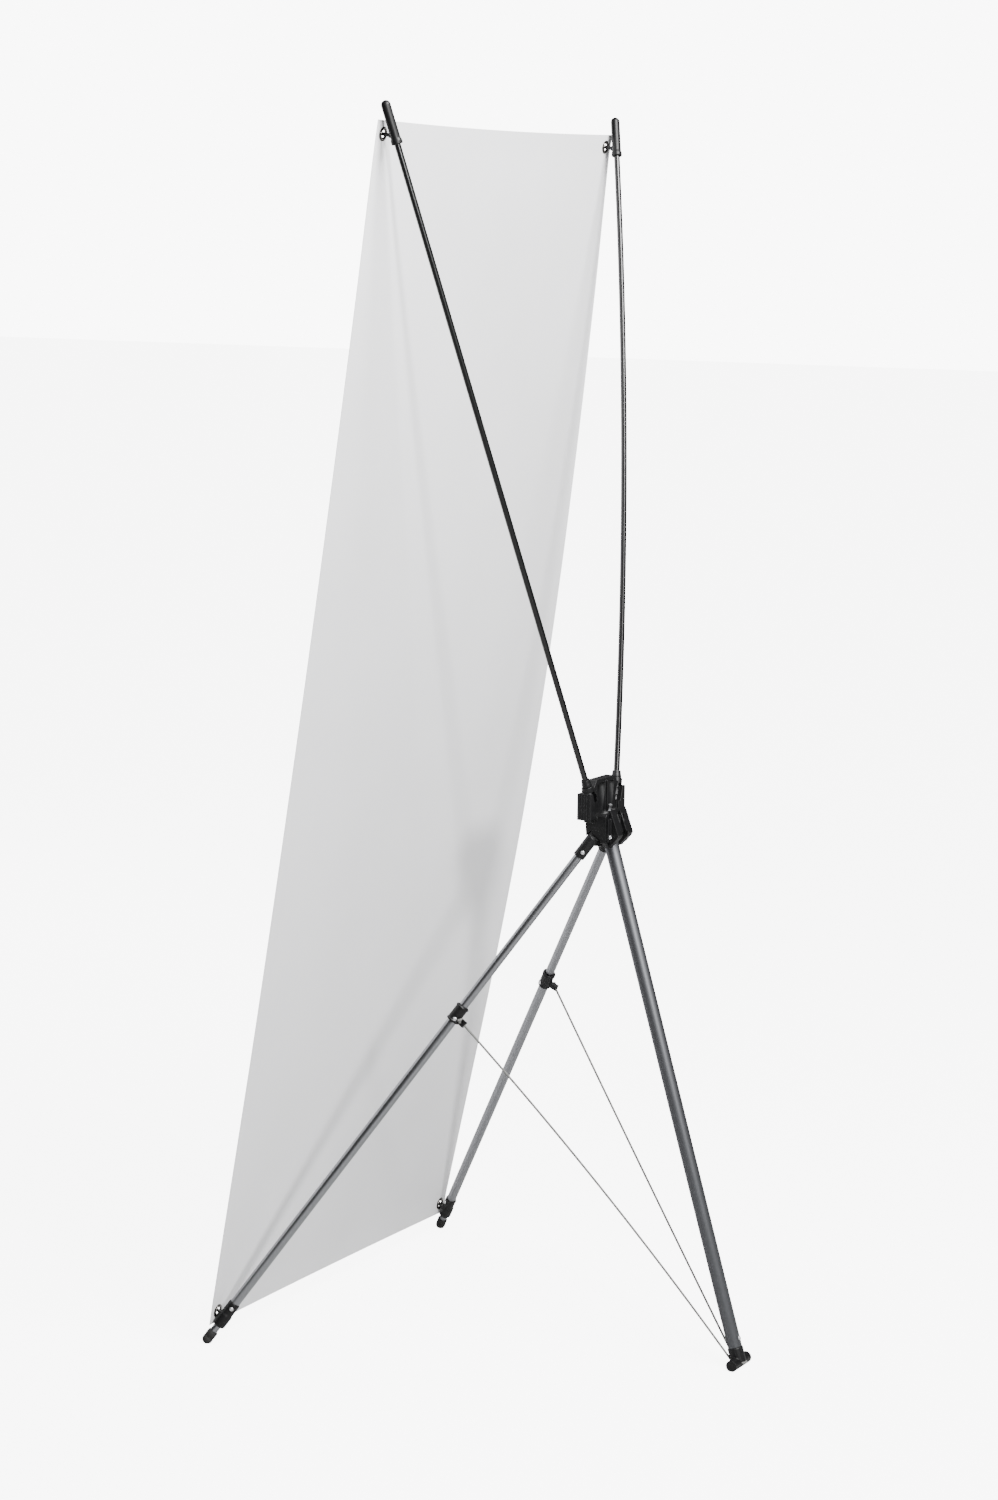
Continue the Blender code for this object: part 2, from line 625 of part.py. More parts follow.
def makeRearLeg(materials, joint):
    pivot, end, way, length = rearShape()
    plastic, silver, steel = (materials[k] for k in ("plastic", "silver", "steel"))
    hinge = Vector((1, 0, 0))
    back = way.cross(hinge).normalized()
    if back.y < 0:
        back = -back
    up = frameAlong(end, way)
    bore = REAR_TUBE_R - REAR_TUBE_WALL
    plugR = bore - GAP
    top = length - REAR_TUBE_TOP
    seat = REAR_FOOT_R + REAR_NECK
    tube = turned("rear_leg_tube", tubeProfile(REAR_TUBE_R, bore, seat + GAP, top), up, silver, joint, NEAR_ROUND)

    tongueReach = REAR_TUBE_TOP - GAP
    tongueAt = length - REAR_TUBE_TOP + 0.0025
    knuckle = tongueMesh(pivot, way, hinge, tongueReach, REAR_TONGUE_THICK, REAR_TONGUE_R, plastic, "leg_knuckle_rear",
                         joint)
    plug = turned("helper", rodProfile(plugR, length - 0.042, tongueAt, 0.0006), up, steps=NEAR_ROUND)
    join(knuckle, plug)
    rivetAt = pivot - way * REAR_RIVET_AT
    pinReach = hinge * 0.02
    cut(knuckle, cylinderHelper(pivot - pinReach, pivot + pinReach, PIN_R + GAP, SMALL_ROUND))
    cut(knuckle, rivetHole(rivetAt, back, REAR_TUBE_R))
    cut(tube, rivetHole(rivetAt, back, REAR_TUBE_R))
    rivet("knuckle_rivet_rear", rivetAt, back, REAR_TUBE_R, steel, joint)

    foot = makeRearFoot(plastic, joint, up, plugR, seat)
    footRivetAt = end + way * (seat + 0.011)
    cut(foot, rivetHole(footRivetAt, back, REAR_TUBE_R))
    cut(tube, rivetHole(footRivetAt, back, REAR_TUBE_R))
    rivet("rear_foot_rivet", footRivetAt, back, REAR_TUBE_R, steel, joint)


def makeRearFoot(plastic, joint, up, plugR, seat):
    """T-foot: a crossbar with a flat sole, a neck under the tube and a plug inside it."""
    outline = []
    arc = 16
    for i in range(arc):
        angle = 2 * pi * (i + 0.5) / arc
        outline.append((REAR_FOOT_R * cos(angle), REAR_FOOT_R * sin(angle)))
    centre = Vector((0, REAR_FOOT_Y, REAR_FOOT_Z))
    matrix = frameAlong(centre, Vector((1, 0, 0)), Vector((0, 1, 0)))
    foot = prism("rear_foot", outline, -REAR_FOOT_HALF, REAR_FOOT_HALF, matrix, plastic, joint)
    neck = [(0, 0), (REAR_TUBE_R + 0.001, 0), (REAR_TUBE_R + 0.001, seat - 0.001), (REAR_TUBE_R, seat),
            (plugR, seat), (plugR, seat + 0.022), (0, seat + 0.022)]
    join(foot, turned("helper", neck, up, steps=NEAR_ROUND))
    far = REAR_FOOT_HALF + 0.01
    cut(foot, box("helper", (-far, REAR_FOOT_Y - 0.03, -0.03), (far, REAR_FOOT_Y + 0.03, 0)))
    for side in (1, -1):
        start = cordEnd(side)
        _, cordWay = lugHole(side)
        cut(foot, cylinderHelper(start - Vector((0, 0.002, 0)), start + Vector((0, 0.035, 0)), CORD_HOLE_R, 12),
            cylinderHelper(start - cordWay * 0.030, start + cordWay * 0.0012, CORD_HOLE_R + 0.0006, 12))
    return foot


def makeCord(side, name, material, joint):
    """Cord from the collar's lug to the crossbar, taut with a slight bow."""
    hole, way = lugHole(side)
    start = hole + way * 0.0028
    end = cordEnd(side)
    bow = Vector((0, 0.45, 0.9)).normalized() * (CORD_BOW * CORD_LIFT[side])
    steps = 26
    points = []
    for i in range(steps + 1):
        s = i / steps
        points.append(start + (end - start) * s + bow * (4 * s * (1 - s)))
    points.append(end + Vector((0, 0.005, 0)))
    return roundBar(name, points, CORD_R, 2, material, joint)


def makeCordBridge(material, joint):
    """The cord behind the crossbar, out of one hole and into the other."""
    inner = REAR_FOOT_Y + REAR_FOOT_R
    depth = CORD_R + 0.0009
    points = []
    x = CORD_HOLE_X
    z = REAR_FOOT_Z + 0.001
    points.append(Vector((-x, REAR_FOOT_Y - 0.001, z)))
    bend = 5
    radius = 0.0035
    for i in range(bend + 1):
        angle = (pi / 2) * i / bend
        points.append(Vector((-x + radius * (1 - cos(angle)), inner + depth - radius + radius * sin(angle), z)))
    for i in range(bend + 1):
        angle = (pi / 2) * (1 - i / bend)
        points.append(Vector((x - radius * (1 - cos(angle)), inner + depth - radius + radius * sin(angle), z)))
    points.append(Vector((x, REAR_FOOT_Y - 0.001, z)))
    return roundBar("cord_bridge", points, CORD_R, 2, material, joint)


def legSweep(side):
    """Helpers that clear a front leg's tongue and sleeve from rest to folded."""
    pivot, end, way, _, hinge = legShape(side)
    folded = Vector((0, 0, 1))
    angle = way.angle(folded)
    helpers = []
    steps = 4
    for i in range(steps + 1):
        turn = Matrix.Rotation(angle * i / steps * sign(side), 3, hinge)
        along = turn @ way
        if i == steps:
            along = folded
        start = pivot - along * (TONGUE_REACH - 0.0045)
        helpers.append(cylinderHelper(start, pivot - along * 0.075, SLEEVE_R + 0.0008, SMALL_ROUND))
        slot = tongueMesh(pivot, along, hinge, 0.045, TONGUE_THICK + 0.0010, 0.0082, None, "helper", None)
        helpers.append(slot)
    return helpers


def sign(side):
    pivot, end, way, _, hinge = legShape(side)
    trial = Matrix.Rotation(0.1, 3, hinge) @ way
    return 1 if trial.z > way.z else -1


def rodSocket(side):
    """Frame of a rod's socket: Z up the rod from the socket's mouth and Y to the rear."""
    base, _, _, startWay, _ = rodShape(side)
    return frameAlong(base, startWay)


def rearLegCavity(plate):
    """Clears the rear leg's tube, tongue and rivet heads from rest to folded."""
    pivot, _, way, _ = rearShape()
    folded = Vector((0, -sin(REAR_FOLDED), cos(REAR_FOLDED)))
    hinge = Vector((1, 0, 0))
    clear = REAR_TUBE_R + 0.0009
    for along in (way, (way + folded).normalized(), folded):
        cut(plate, cylinderHelper(pivot - along * (REAR_TUBE_TOP - 0.0025), pivot - along * 0.08, clear))
        cut(plate, tongueMesh(pivot, along, hinge, 0.02, REAR_TONGUE_THICK + 0.0012, REAR_TONGUE_R + 0.0012, None,
                              "helper", None))
        across = along.cross(hinge) * (REAR_TUBE_R + GAP + RIVET_HEAD + 0.0006)
        rivetAt = pivot - along * REAR_RIVET_AT
        cut(plate, cylinderHelper(rivetAt - across, rivetAt + across, RIVET_HEAD_R + 0.0006, SMALL_ROUND))


def makeHub(materials, root):
    plastic = materials["plastic"]
    w, low, top, bottom = HUB_HALF_WIDTH, HUB_LOWER_HALF, HUB_TOP, HUB_BOTTOM
    rear = Matrix.Translation(hubPoint(0, 0, 0))
    facing = frameAlong(hubPoint(0, 0, 0), Vector((0, -1, 0)))
    rise = (facing.to_3x3() @ Vector((0, 1, 0))).z

    upper = [(-w, HUB_STEP - 0.012), (w, HUB_STEP - 0.012), (w, top - 0.012), (w - 0.009, top), (-w + 0.009, top),
             (-w, top - 0.012)]
    lower = [(-low + 0.010, bottom), (low - 0.010, bottom), (low - 0.003, bottom + 0.008), (low, -0.010),
             (low, HUB_STEP - 0.003), (low - 0.003, HUB_STEP), (-low + 0.003, HUB_STEP), (-low, HUB_STEP - 0.003),
             (-low, -0.010), (-low + 0.003, bottom + 0.008)]
    hub = prism("hub_body", [(x, z * rise) for x, z in upper], -HUB_PLATE_REAR, -HUB_FRONT, facing, plastic, root)
    join(hub, prism("helper", [(x, z * rise) for x, z in lower], -HUB_REAR, -HUB_FRONT - 0.0004, facing))
    for side in (1, -1):
        xs = sorted((side * (ROD_BASE_X - ROD_BLOCK_IN), side * (ROD_BASE_X + ROD_BLOCK_OUT)))
        join(hub, box("helper", (xs[0], HUB_FRONT - 0.003, -0.001), (xs[1], ROD_BASE_Y + 0.011, 0.034), rear))
        socket = rodSocket(side)
        mouth, up = socket @ Vector((0, 0, 0)), socket.to_3x3() @ Vector((0, 0, 1))
        join(hub, cylinderHelper(mouth - up * 0.030, mouth - up * 0.006, 0.0080))
        xs = sorted((side * (w - 0.008), side * ROD_BASE_X))
        join(hub, box("helper", (xs[0], ROD_BASE_Y - 0.0068, 0.020), (xs[1], ROD_BASE_Y + 0.0068, 0.0415), rear))
        seat = ROD_R + ROD_GAP
        cut(hub, cylinderHelper(mouth - up * (FERRULE_DOWN + GAP), mouth + up * 0.02, FERRULE_R + GAP),
            cylinderHelper(mouth - up * (ROD_INTO_HUB + GAP), mouth, seat),
            box("helper", (-seat * 0.94, 0, -ROD_INTO_HUB - GAP), (seat * 0.94, 0.03, -FERRULE_DOWN - 0.0015), socket))
    centre = 0.0015
    join(hub, box("helper", (-centre, HUB_PLATE_REAR - 0.001, HUB_STEP - 0.001), (centre, HUB_PLATE_REAR + 0.0035, top - 0.003),
                  rear))
    rearLegCavity(hub)
    pivot = rearShape()[0]
    half = Vector((REAR_PIN_LENGTH / 2 + GAP, 0, 0))
    cut(hub, cylinderHelper(pivot - half, pivot + half, PIN_R + GAP, SMALL_ROUND))
    for side in (1, -1):
        cut(hub, *legSweep(side))
        pivot, _, _, _, hinge = legShape(side)
        half = hinge * (PIN_LENGTH / 2 + GAP)
        cut(hub, cylinderHelper(pivot - half, pivot + half, PIN_R + GAP, SMALL_ROUND))
        cut(hub, cylinderHelper(screwPlace(side, 0.010), screwPlace(side, -0.0068), SCREW_R + GAP, 12))
    return hub


def screwPlace(side, y):
    return hubPoint(side * SCREW_X, y, SCREW_Z)


def makeRearCover(materials, root):
    """Cowl over the rear leg's hinge, open below and slotted behind."""
    deep, top, bottom = COVER_DEPTH, HUB_STEP + 0.005, HUB_BOTTOM + 0.002
    face = HUB_REAR + GAP
    profile = [(face, bottom), (0.0047, bottom + 0.0035), (deep - 0.0020, bottom + 0.0120), (deep, bottom + 0.0165),
               (deep - 0.0080, top - 0.0110), (face + 0.0012, top), (face, top)]
    matrix = frameAlong(hubPoint(0, 0, 0), Vector((-1, 0, 0)), Vector((0, 1, 0)))
    flip = (matrix.to_3x3() @ Vector((0, 1, 0))).z
    outline = [(y, z * flip) for y, z in profile]
    cover = prism("hub_rear_cover", outline, -COVER_HALF, COVER_HALF, matrix, materials["plastic"], root)
    rear = Matrix.Translation(hubPoint(0, 0, 0))
    join(cover, box("helper", (-COVER_FLANGE, face, SCREW_Z - 0.0065), (COVER_FLANGE, face + 0.0025, 0.0), rear))
    rearLegCavity(cover)
    slot = REAR_TUBE_R - 0.0020
    cut(cover, box("helper", (-slot, HUB_REAR - 0.01, -0.060), (slot, 0.05, REAR_PIVOT_Z - 0.0050), rear))
    cut(cover, box("helper", (-0.0040, HUB_REAR - 0.01, -0.030), (0.0040, 0.05, top - 0.0035), rear))
    for side in (1, -1):
        cut(cover, cylinderHelper(screwPlace(side, 0.010), screwPlace(side, -0.006), SCREW_R + GAP, 12))
        head = face + 0.0025 + GAP
        profile = [(0, -0.0060), (SCREW_R, -0.0060), (SCREW_R, head), (SCREW_HEAD_R, head),
                   (SCREW_HEAD_R, head + 0.0013), (SCREW_HEAD_R - 0.0008, head + 0.0019), (0, head + 0.0019)]
        place = frameAlong(screwPlace(side, 0), Vector((0, 1, 0)))
        turned(f"cover_screw_{'right' if side > 0 else 'left'}", profile, place, materials["steel"], root, 12)
    return cover


def makeLatchSpring(materials, root):
    """Flat steel spring on the step above the rear leg's tongue, with its top bent over."""
    y, z = REAR_PIVOT_Y + 0.0030, HUB_STEP + GAP
    outline = [(y - 0.0006, z), (y + 0.0040, z), (y + 0.0040, z + 0.0008), (y + 0.0006, z + 0.0008),
               (y + 0.0034, z + 0.0080), (y + 0.0008, z + 0.0098), (y - 0.0002, z + 0.0094), (y + 0.0020, z + 0.0076)]
    matrix = frameAlong(hubPoint(0, 0, 0), Vector((-1, 0, 0)), Vector((0, 1, 0)))
    flip = (matrix.to_3x3() @ Vector((0, 1, 0))).z
    outline = [(y, z * flip) for y, z in outline]
    return prism("latch_spring", outline, -0.0030, 0.0030, matrix, materials["steel"], root)


def makePins(materials, root):
    for side, word in ((1, "right"), (-1, "left")):
        pivot, _, _, _, hinge = legShape(side)
        turned(f"hinge_pin_{word}", rodProfile(PIN_R, -PIN_LENGTH / 2, PIN_LENGTH / 2, 0.0003),
               frameAlong(pivot, hinge, Vector((0, 0, 1))), materials["steel"], root)
    pivot = rearShape()[0]
    turned("hinge_pin_rear", rodProfile(PIN_R, -REAR_PIN_LENGTH / 2, REAR_PIN_LENGTH / 2, 0.0003),
           frameAlong(pivot, Vector((1, 0, 0)), Vector((0, 0, 1))), materials["steel"], root)


def makeFerrule(side, name, materials, root):
    bore = ROD_R + ROD_GAP
    low, high, lip = -FERRULE_DOWN, FERRULE_UP, -0.006 + GAP
    profile = [(bore, low), (FERRULE_R, low), (FERRULE_R, lip), (FERRULE_FLANGE_R, lip), (FERRULE_FLANGE_R, lip + 0.003),
               (FERRULE_R, high), (bore, high)]
    return turned(name, profile, rodSocket(side), materials["plastic"], root, NEAR_ROUND)


def centreFootprint(root):
    """Moves the stand so that the middle of its outline on the floor is at the origin."""
    bpy.context.view_layer.update()
    ys = []
    for obj in bpy.data.objects:
        if obj.type == "MESH" and not obj.name.startswith("cord_"):
            ys += [(obj.matrix_world @ vertex.co).y for vertex in obj.data.vertices]
    root.location.y = -(min(ys) + max(ys)) / 2
    bpy.context.view_layer.update()


def main():
    clearScene()
    materials = {
        "plastic": makeMaterial("black_nylon", (0.025, 0.025, 0.027), 0.42, 0.0),
        "rod": makeMaterial("fibreglass_rod", (0.018, 0.018, 0.020), 0.25, 0.0),
        "silver": makeMaterial("anodised_aluminium", (0.42, 0.42, 0.43), 0.35, 1.0),
        "rubber": makeMaterial("rubber", (0.015, 0.015, 0.016), 0.7, 0.0),
        "steel": makeMaterial("zinc_steel", (0.70, 0.70, 0.71), 0.3, 1.0),
        "sheet": makeMaterial("pvc_sheet", (0.72, 0.72, 0.73), 0.5, 0.0),
        "cord": makeMaterial("braided_cord", (0.55, 0.55, 0.56), 0.8, 0.0),
    }
    root = makeEmpty("stand", (0, 0, 0))
    sheetJoint = makeEmpty("sheet_joint", sheetPoint(0, SHEET_HEIGHT / 2), root)
    makeSheet(materials["sheet"], sheetJoint)
    makeEyelets(materials["steel"], sheetJoint)
    makeHub(materials, root)
    makeRearCover(materials, root)
    makeLatchSpring(materials, root)
    makePins(materials, root)
    for side, word in ((1, "right"), (-1, "left")):
        makeFerrule(side, f"rod_ferrule_{word}", materials, root)
        makeRod(side, f"rod_{word}", materials["rod"], root)
        makeTopHook(side, f"top_hook_{word}", materials["plastic"], root)
        legJoint = makeEmpty(f"leg_joint_{word}", legShape(side)[0], root)
        makeFrontLeg(side, word, materials, legJoint)
    rearJoint = makeEmpty("leg_joint_rear", rearShape()[0], root)
    makeRearLeg(materials, rearJoint)
    for side, word in ((1, "right"), (-1, "left")):
        makeCord(side, f"cord_{word}", materials["cord"], rearJoint)
    makeCordBridge(materials["cord"], rearJoint)
    centreFootprint(root)


main()
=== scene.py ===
# Three-legged banner stand: the looks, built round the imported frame.
import json
from math import cos, pi, radians, sin, tau

import bmesh
import bpy
import numpy as np
from mathutils import Matrix, Vector, noise


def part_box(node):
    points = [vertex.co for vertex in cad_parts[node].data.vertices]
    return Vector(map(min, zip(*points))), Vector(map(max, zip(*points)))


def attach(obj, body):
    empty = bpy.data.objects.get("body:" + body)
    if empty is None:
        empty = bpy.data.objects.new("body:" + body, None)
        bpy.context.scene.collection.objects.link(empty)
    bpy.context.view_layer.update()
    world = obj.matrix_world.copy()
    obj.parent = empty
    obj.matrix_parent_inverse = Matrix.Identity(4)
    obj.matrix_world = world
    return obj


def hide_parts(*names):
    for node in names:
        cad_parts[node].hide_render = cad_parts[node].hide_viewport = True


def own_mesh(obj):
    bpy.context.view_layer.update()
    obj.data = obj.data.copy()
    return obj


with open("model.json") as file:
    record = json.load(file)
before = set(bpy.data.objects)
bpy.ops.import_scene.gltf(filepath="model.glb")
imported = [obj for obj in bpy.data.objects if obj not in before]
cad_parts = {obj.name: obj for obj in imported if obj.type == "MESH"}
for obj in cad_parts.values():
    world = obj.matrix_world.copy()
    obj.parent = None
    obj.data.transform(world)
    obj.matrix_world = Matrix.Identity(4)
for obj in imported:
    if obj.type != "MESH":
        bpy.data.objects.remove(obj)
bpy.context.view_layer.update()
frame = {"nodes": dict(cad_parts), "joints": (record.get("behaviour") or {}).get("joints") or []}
joints = {joint["name"]: joint for joint in frame["joints"]}

# ---- small helpers


def hexColour(text):
    # sRGB hex to the linear values a shader takes
    parts = [int(text[i:i + 2], 16) / 255 for i in (0, 2, 4)]
    linear = [p / 12.92 if p <= 0.04045 else ((p + 0.055) / 1.055) ** 2.4 for p in parts]
    return (*linear, 1.0)


def addNode(tree, kind, settings=None, links=None, **values):
    # adds one node; links maps its input names to output sockets, values set inputs by name
    node = tree.nodes.new(kind)
    for key, value in (settings or {}).items():
        setattr(node, key, value)
    for key, value in values.items():
        node.inputs[key].default_value = value
    for key, socket in (links or {}).items():
        tree.links.new(socket, node.inputs[key])
    return node


def newMaterial(name, colour, roughness, metallic=0.0, ior=None):
    material = bpy.data.materials.new(name)
    material.use_nodes = True
    shader = material.node_tree.nodes["Principled BSDF"]
    shader.inputs["Base Color"].default_value = hexColour(colour)
    shader.inputs["Roughness"].default_value = roughness
    shader.inputs["Metallic"].default_value = metallic
    if ior:
        shader.inputs["IOR"].default_value = ior
    return material, material.node_tree, shader


def joinColour(tree, shader, factor, dark, light):
    # base colour that runs from dark to light with a pattern
    ramp = addNode(tree, "ShaderNodeValToRGB", links={"Fac": factor})
    ramp.color_ramp.elements[0].color = hexColour(dark)
    ramp.color_ramp.elements[1].color = hexColour(light)
    tree.links.new(ramp.outputs["Color"], shader.inputs["Base Color"])


def joinRoughness(tree, shader, factor, smoothest, roughest):
    gloss = addNode(tree, "ShaderNodeMapRange", links={"Value": factor})
    gloss.inputs["To Min"].default_value = smoothest
    gloss.inputs["To Max"].default_value = roughest
    tree.links.new(gloss.outputs["Result"], shader.inputs["Roughness"])


def joinBump(tree, shader, height, strength, distance, onto=None):
    links = {"Height": height}
    if onto:
        links["Normal"] = onto
    bump = addNode(tree, "ShaderNodeBump", links=links, Strength=strength, Distance=distance)
    tree.links.new(bump.outputs["Normal"], shader.inputs["Normal"])
    return bump.outputs["Normal"]


# ---- materials


def makeBlackNylon():
    # glass-filled nylon, injection moulded in a spark-eroded tool: dark, fine grain, soft highlights
    material, tree, shader = newMaterial("blackNylonMoulded", "0a0a0b", 0.46, ior=1.53)
    shader.inputs["Specular IOR Level"].default_value = 0.28
    place = addNode(tree, "ShaderNodeTexCoord").outputs["Object"]
    grain = addNode(tree, "ShaderNodeTexNoise", links={"Vector": place}, Scale=1600, Detail=3)  # 0.6 mm grit
    # flow marks 17 mm across
    cloud = addNode(tree, "ShaderNodeTexNoise", links={"Vector": place}, Scale=60, Detail=4)
    joinColour(tree, shader, cloud.outputs["Fac"], "070708", "0f0f10")
    joinRoughness(tree, shader, cloud.outputs["Fac"], 0.40, 0.52)
    joinBump(tree, shader, grain.outputs["Fac"], 0.12, 0.00005)
    return material


def makeRodGlass():
    # pultruded glass-fibre rod under a smooth black gel coat: even, with one sharp highlight along it
    material, _, _ = newMaterial("fibreglassRodBlack", "0b0b0c", 0.27, ior=1.52)
    return material


def makeAluminium(name, dark, light, smoothest, roughest):
    # drawn aluminium tube, anodised: fine die lines along it, and a soft haze of patches 17 by 125 mm.
    # The satin front tubes give a clear highlight, the matt rear tube a broad dull one
    material, tree, shader = newMaterial(name, light, smoothest, 1.0)
    place = addNode(tree, "ShaderNodeTexCoord").outputs["UV"]
    # die lines 0.6 mm wide
    drawn = addNode(tree, "ShaderNodeMapping", links={"Vector": place}, Scale=(1600, 1.5, 1))
    lines = addNode(tree, "ShaderNodeTexNoise", links={"Vector": drawn.outputs["Vector"]}, Scale=1, Detail=3)
    joinColour(tree, shader, lines.outputs["Fac"], dark, light)
    soft = addNode(tree, "ShaderNodeMapping", links={"Vector": place}, Scale=(60, 8, 1))
    haze = addNode(tree, "ShaderNodeTexNoise", links={"Vector": soft.outputs["Vector"]}, Scale=1, Detail=2)
    joinRoughness(tree, shader, haze.outputs["Fac"], smoothest, roughest)
    joinBump(tree, shader, lines.outputs["Fac"], 0.06, 0.00002)
    return material


def makeRubber():
    # moulded rubber: nearly black, dull, with painted shade in the hollows of its grain
    material, tree, shader = newMaterial("rubberMoulded", "151515", 0.75, ior=1.52)
    place = addNode(tree, "ShaderNodeTexCoord").outputs["Object"]
    grain = addNode(tree, "ShaderNodeTexNoise", links={"Vector": place}, Scale=900, Detail=4)  # 1 mm grain
    # colour darker in the hollows of the grain than on its crests: painted shade
    joinColour(tree, shader, grain.outputs["Fac"], "101010", "222221")
    joinBump(tree, shader, grain.outputs["Fac"], 0.4, 0.0002)
    return material


def makeZincSteel():
    # pressed steel with bright zinc plating: a clean highlight over a faint spangle
    material, tree, shader = newMaterial("steelZincPlated", "d4d5d7", 0.42, 1.0)
    place = addNode(tree, "ShaderNodeTexCoord").outputs["Object"]
    spangle = addNode(tree, "ShaderNodeTexVoronoi", links={"Vector": place}, Scale=900)  # 1 mm crystals
    joinRoughness(tree, shader, spangle.outputs["Color"], 0.36, 0.48)
    scratch = addNode(tree, "ShaderNodeTexNoise", links={"Vector": place}, Scale=2500, Detail=2)  # 0.4 mm
    joinBump(tree, shader, scratch.outputs["Fac"], 0.12, 0.00005)
    return material


def makeNickelSteel():
    # rolled steel with dark nickel plating: smooth, so that it mirrors the dim side of the room
    material, tree, shader = newMaterial("steelNickelPlated", "7c7a77", 0.26, 1.0)
    place = addNode(tree, "ShaderNodeTexCoord").outputs["Object"]
    # clouding 1.4 mm across
    haze = addNode(tree, "ShaderNodeTexNoise", links={"Vector": place}, Scale=700, Detail=3)
    joinColour(tree, shader, haze.outputs["Fac"], "6a6865", "84827f")
    return material


def makePvcSheet():
    # coated PVC banner: matt face, faintly clouded, over a woven scrim that shows as a faint grid
    material, tree, shader = newMaterial("pvcBannerMatt", "e2e2e4", 0.55, ior=1.5)
    shader.inputs["Sheen Weight"].default_value = 0.08
    place = addNode(tree, "ShaderNodeTexCoord").outputs["UV"]
    weave = addNode(tree, "ShaderNodeMath", {"operation": "MAXIMUM"})
    for i, direction in enumerate(("X", "Y")):
        # threads 2 mm apart
        threads = addNode(tree, "ShaderNodeTexWave", {"bands_direction": direction}, {"Vector": place},
                          Scale=160, Distortion=0.6)
        tree.links.new(threads.outputs["Fac"], weave.inputs[i])
    cloud = addNode(tree, "ShaderNodeTexNoise", links={"Vector": place}, Scale=6, Detail=5)  # 170 mm
    joinColour(tree, shader, cloud.outputs["Fac"], "dededf", "e8e8ea")
    first = joinBump(tree, shader, weave.outputs["Value"], 0.08, 0.00008)
    fine = addNode(tree, "ShaderNodeTexNoise", links={"Vector": place}, Scale=900, Detail=3)  # 1.1 mm grain
    joinBump(tree, shader, fine.outputs["Fac"], 0.1, 0.00008, first)
    return material


def makeCordBraid():
    # braided polyester cord: grey, dull, with crossing strands
    material, tree, shader = newMaterial("polyesterCordBraided", "6c6c6a", 0.85)
    place = addNode(tree, "ShaderNodeTexCoord").outputs["UV"]
    braid = addNode(tree, "ShaderNodeMath", {"operation": "MAXIMUM"})
    for i, turn in enumerate((1, -1)):
        lean = addNode(tree, "ShaderNodeMapping", links={"Vector": place})
        lean.inputs["Rotation"].default_value = (0, 0, turn * radians(38))
        # strands 1.4 mm apart
        strand = addNode(tree, "ShaderNodeTexWave", links={"Vector": lean.outputs["Vector"]}, Scale=220)
        tree.links.new(strand.outputs["Fac"], braid.inputs[i])
    # colour darker down in the gaps between the strands: painted shade
    joinColour(tree, shader, braid.outputs["Value"], "454544", "777775")
    joinBump(tree, shader, braid.outputs["Value"], 0.6, 0.0003)
    return material


blackNylon = makeBlackNylon()
rodGlass = makeRodGlass()
aluminium = makeAluminium("aluminiumAnodisedSatin", "8d8e91", "999a9d", 0.27, 0.33)
aluminiumRear = makeAluminium("aluminiumAnodisedMatt", "5c5d60", "66676a", 0.50, 0.56)
rubber = makeRubber()
zincSteel = makeZincSteel()
nickelSteel = makeNickelSteel()
pvcSheet = makePvcSheet()
cordBraid = makeCordBraid()
print("materials made")


# ---- mesh helpers


def smoothFaces(mesh, sharp=40):
    # shades the faces smooth, with an edge wherever they meet at more than this many degrees
    mesh.shade_smooth()
    mesh.set_sharp_from_angle(angle=radians(sharp))


def newPiece(name, bm, material, body, replaced=()):
    bmesh.ops.recalc_face_normals(bm, faces=bm.faces)
    mesh = bpy.data.meshes.new(name)
    bm.to_mesh(mesh)
    bm.free()
    smoothFaces(mesh, 35)
    piece = bpy.data.objects.new(name, mesh)
    bpy.context.scene.collection.objects.link(piece)
    return settle(piece, material, body, replaced)


def coat(mesh, material):
    mesh.materials.clear()
    mesh.materials.append(material)


def settle(piece, material, body, replaced=()):
    coat(piece.data, material)
    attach(piece, body)
    if replaced:
        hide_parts(*replaced)
    return piece


def framePoint(origin, axis):
    # a matrix that puts the origin at a point and Z along an axis
    up = Vector(axis).normalized()
    side = Vector((1, 0, 0))
    if abs(up.dot(side)) > 0.95:
        side = Vector((0, 0, 1))
    across = (side - up * side.dot(up)).normalized()
    turn = Matrix((across, up.cross(across), up)).transposed().to_4x4()
    return Matrix.Translation(origin) @ turn


def turnProfile(profile, matrix, steps=40):
    # turns (radius, height) pairs about Z; UV is metres round and along, so a pattern keeps its real size
    bm = bmesh.new()
    layer = bm.loops.layers.uv.new("metres")
    rings = []
    for radius, height in profile:
        if radius < 1e-7:
            rings.append([bm.verts.new((0, 0, height))])
        else:
            rings.append([bm.verts.new((radius * cos(tau * i / steps), radius * sin(tau * i / steps), height))
                          for i in range(steps)])
    closes = len(rings[0]) > 1
    run = 0.0
    for i in range(len(rings) if closes else len(rings) - 1):
        k = (i + 1) % len(rings)
        low, high = rings[i], rings[k]
        rise = (Vector(profile[k]) - Vector(profile[i])).length
        width = max(profile[i][0], profile[k][0])
        for j in range(steps):
            spots = [(low, j, run), (low, j + 1, run), (high, j + 1, run + rise), (high, j, run + rise)]
            corners, places = [], []
            for ring, n, along in spots:
                vert = ring[n % len(ring)]
                if vert not in corners:
                    corners.append(vert)
                    places.append((tau * n / steps * width, along))
            if len(corners) > 2:
                face = bm.faces.new(corners)
                for loop, spot in zip(face.loops, places):
                    loop[layer].uv = spot
        run += rise
    bmesh.ops.transform(bm, matrix=matrix, verts=bm.verts)
    return bm


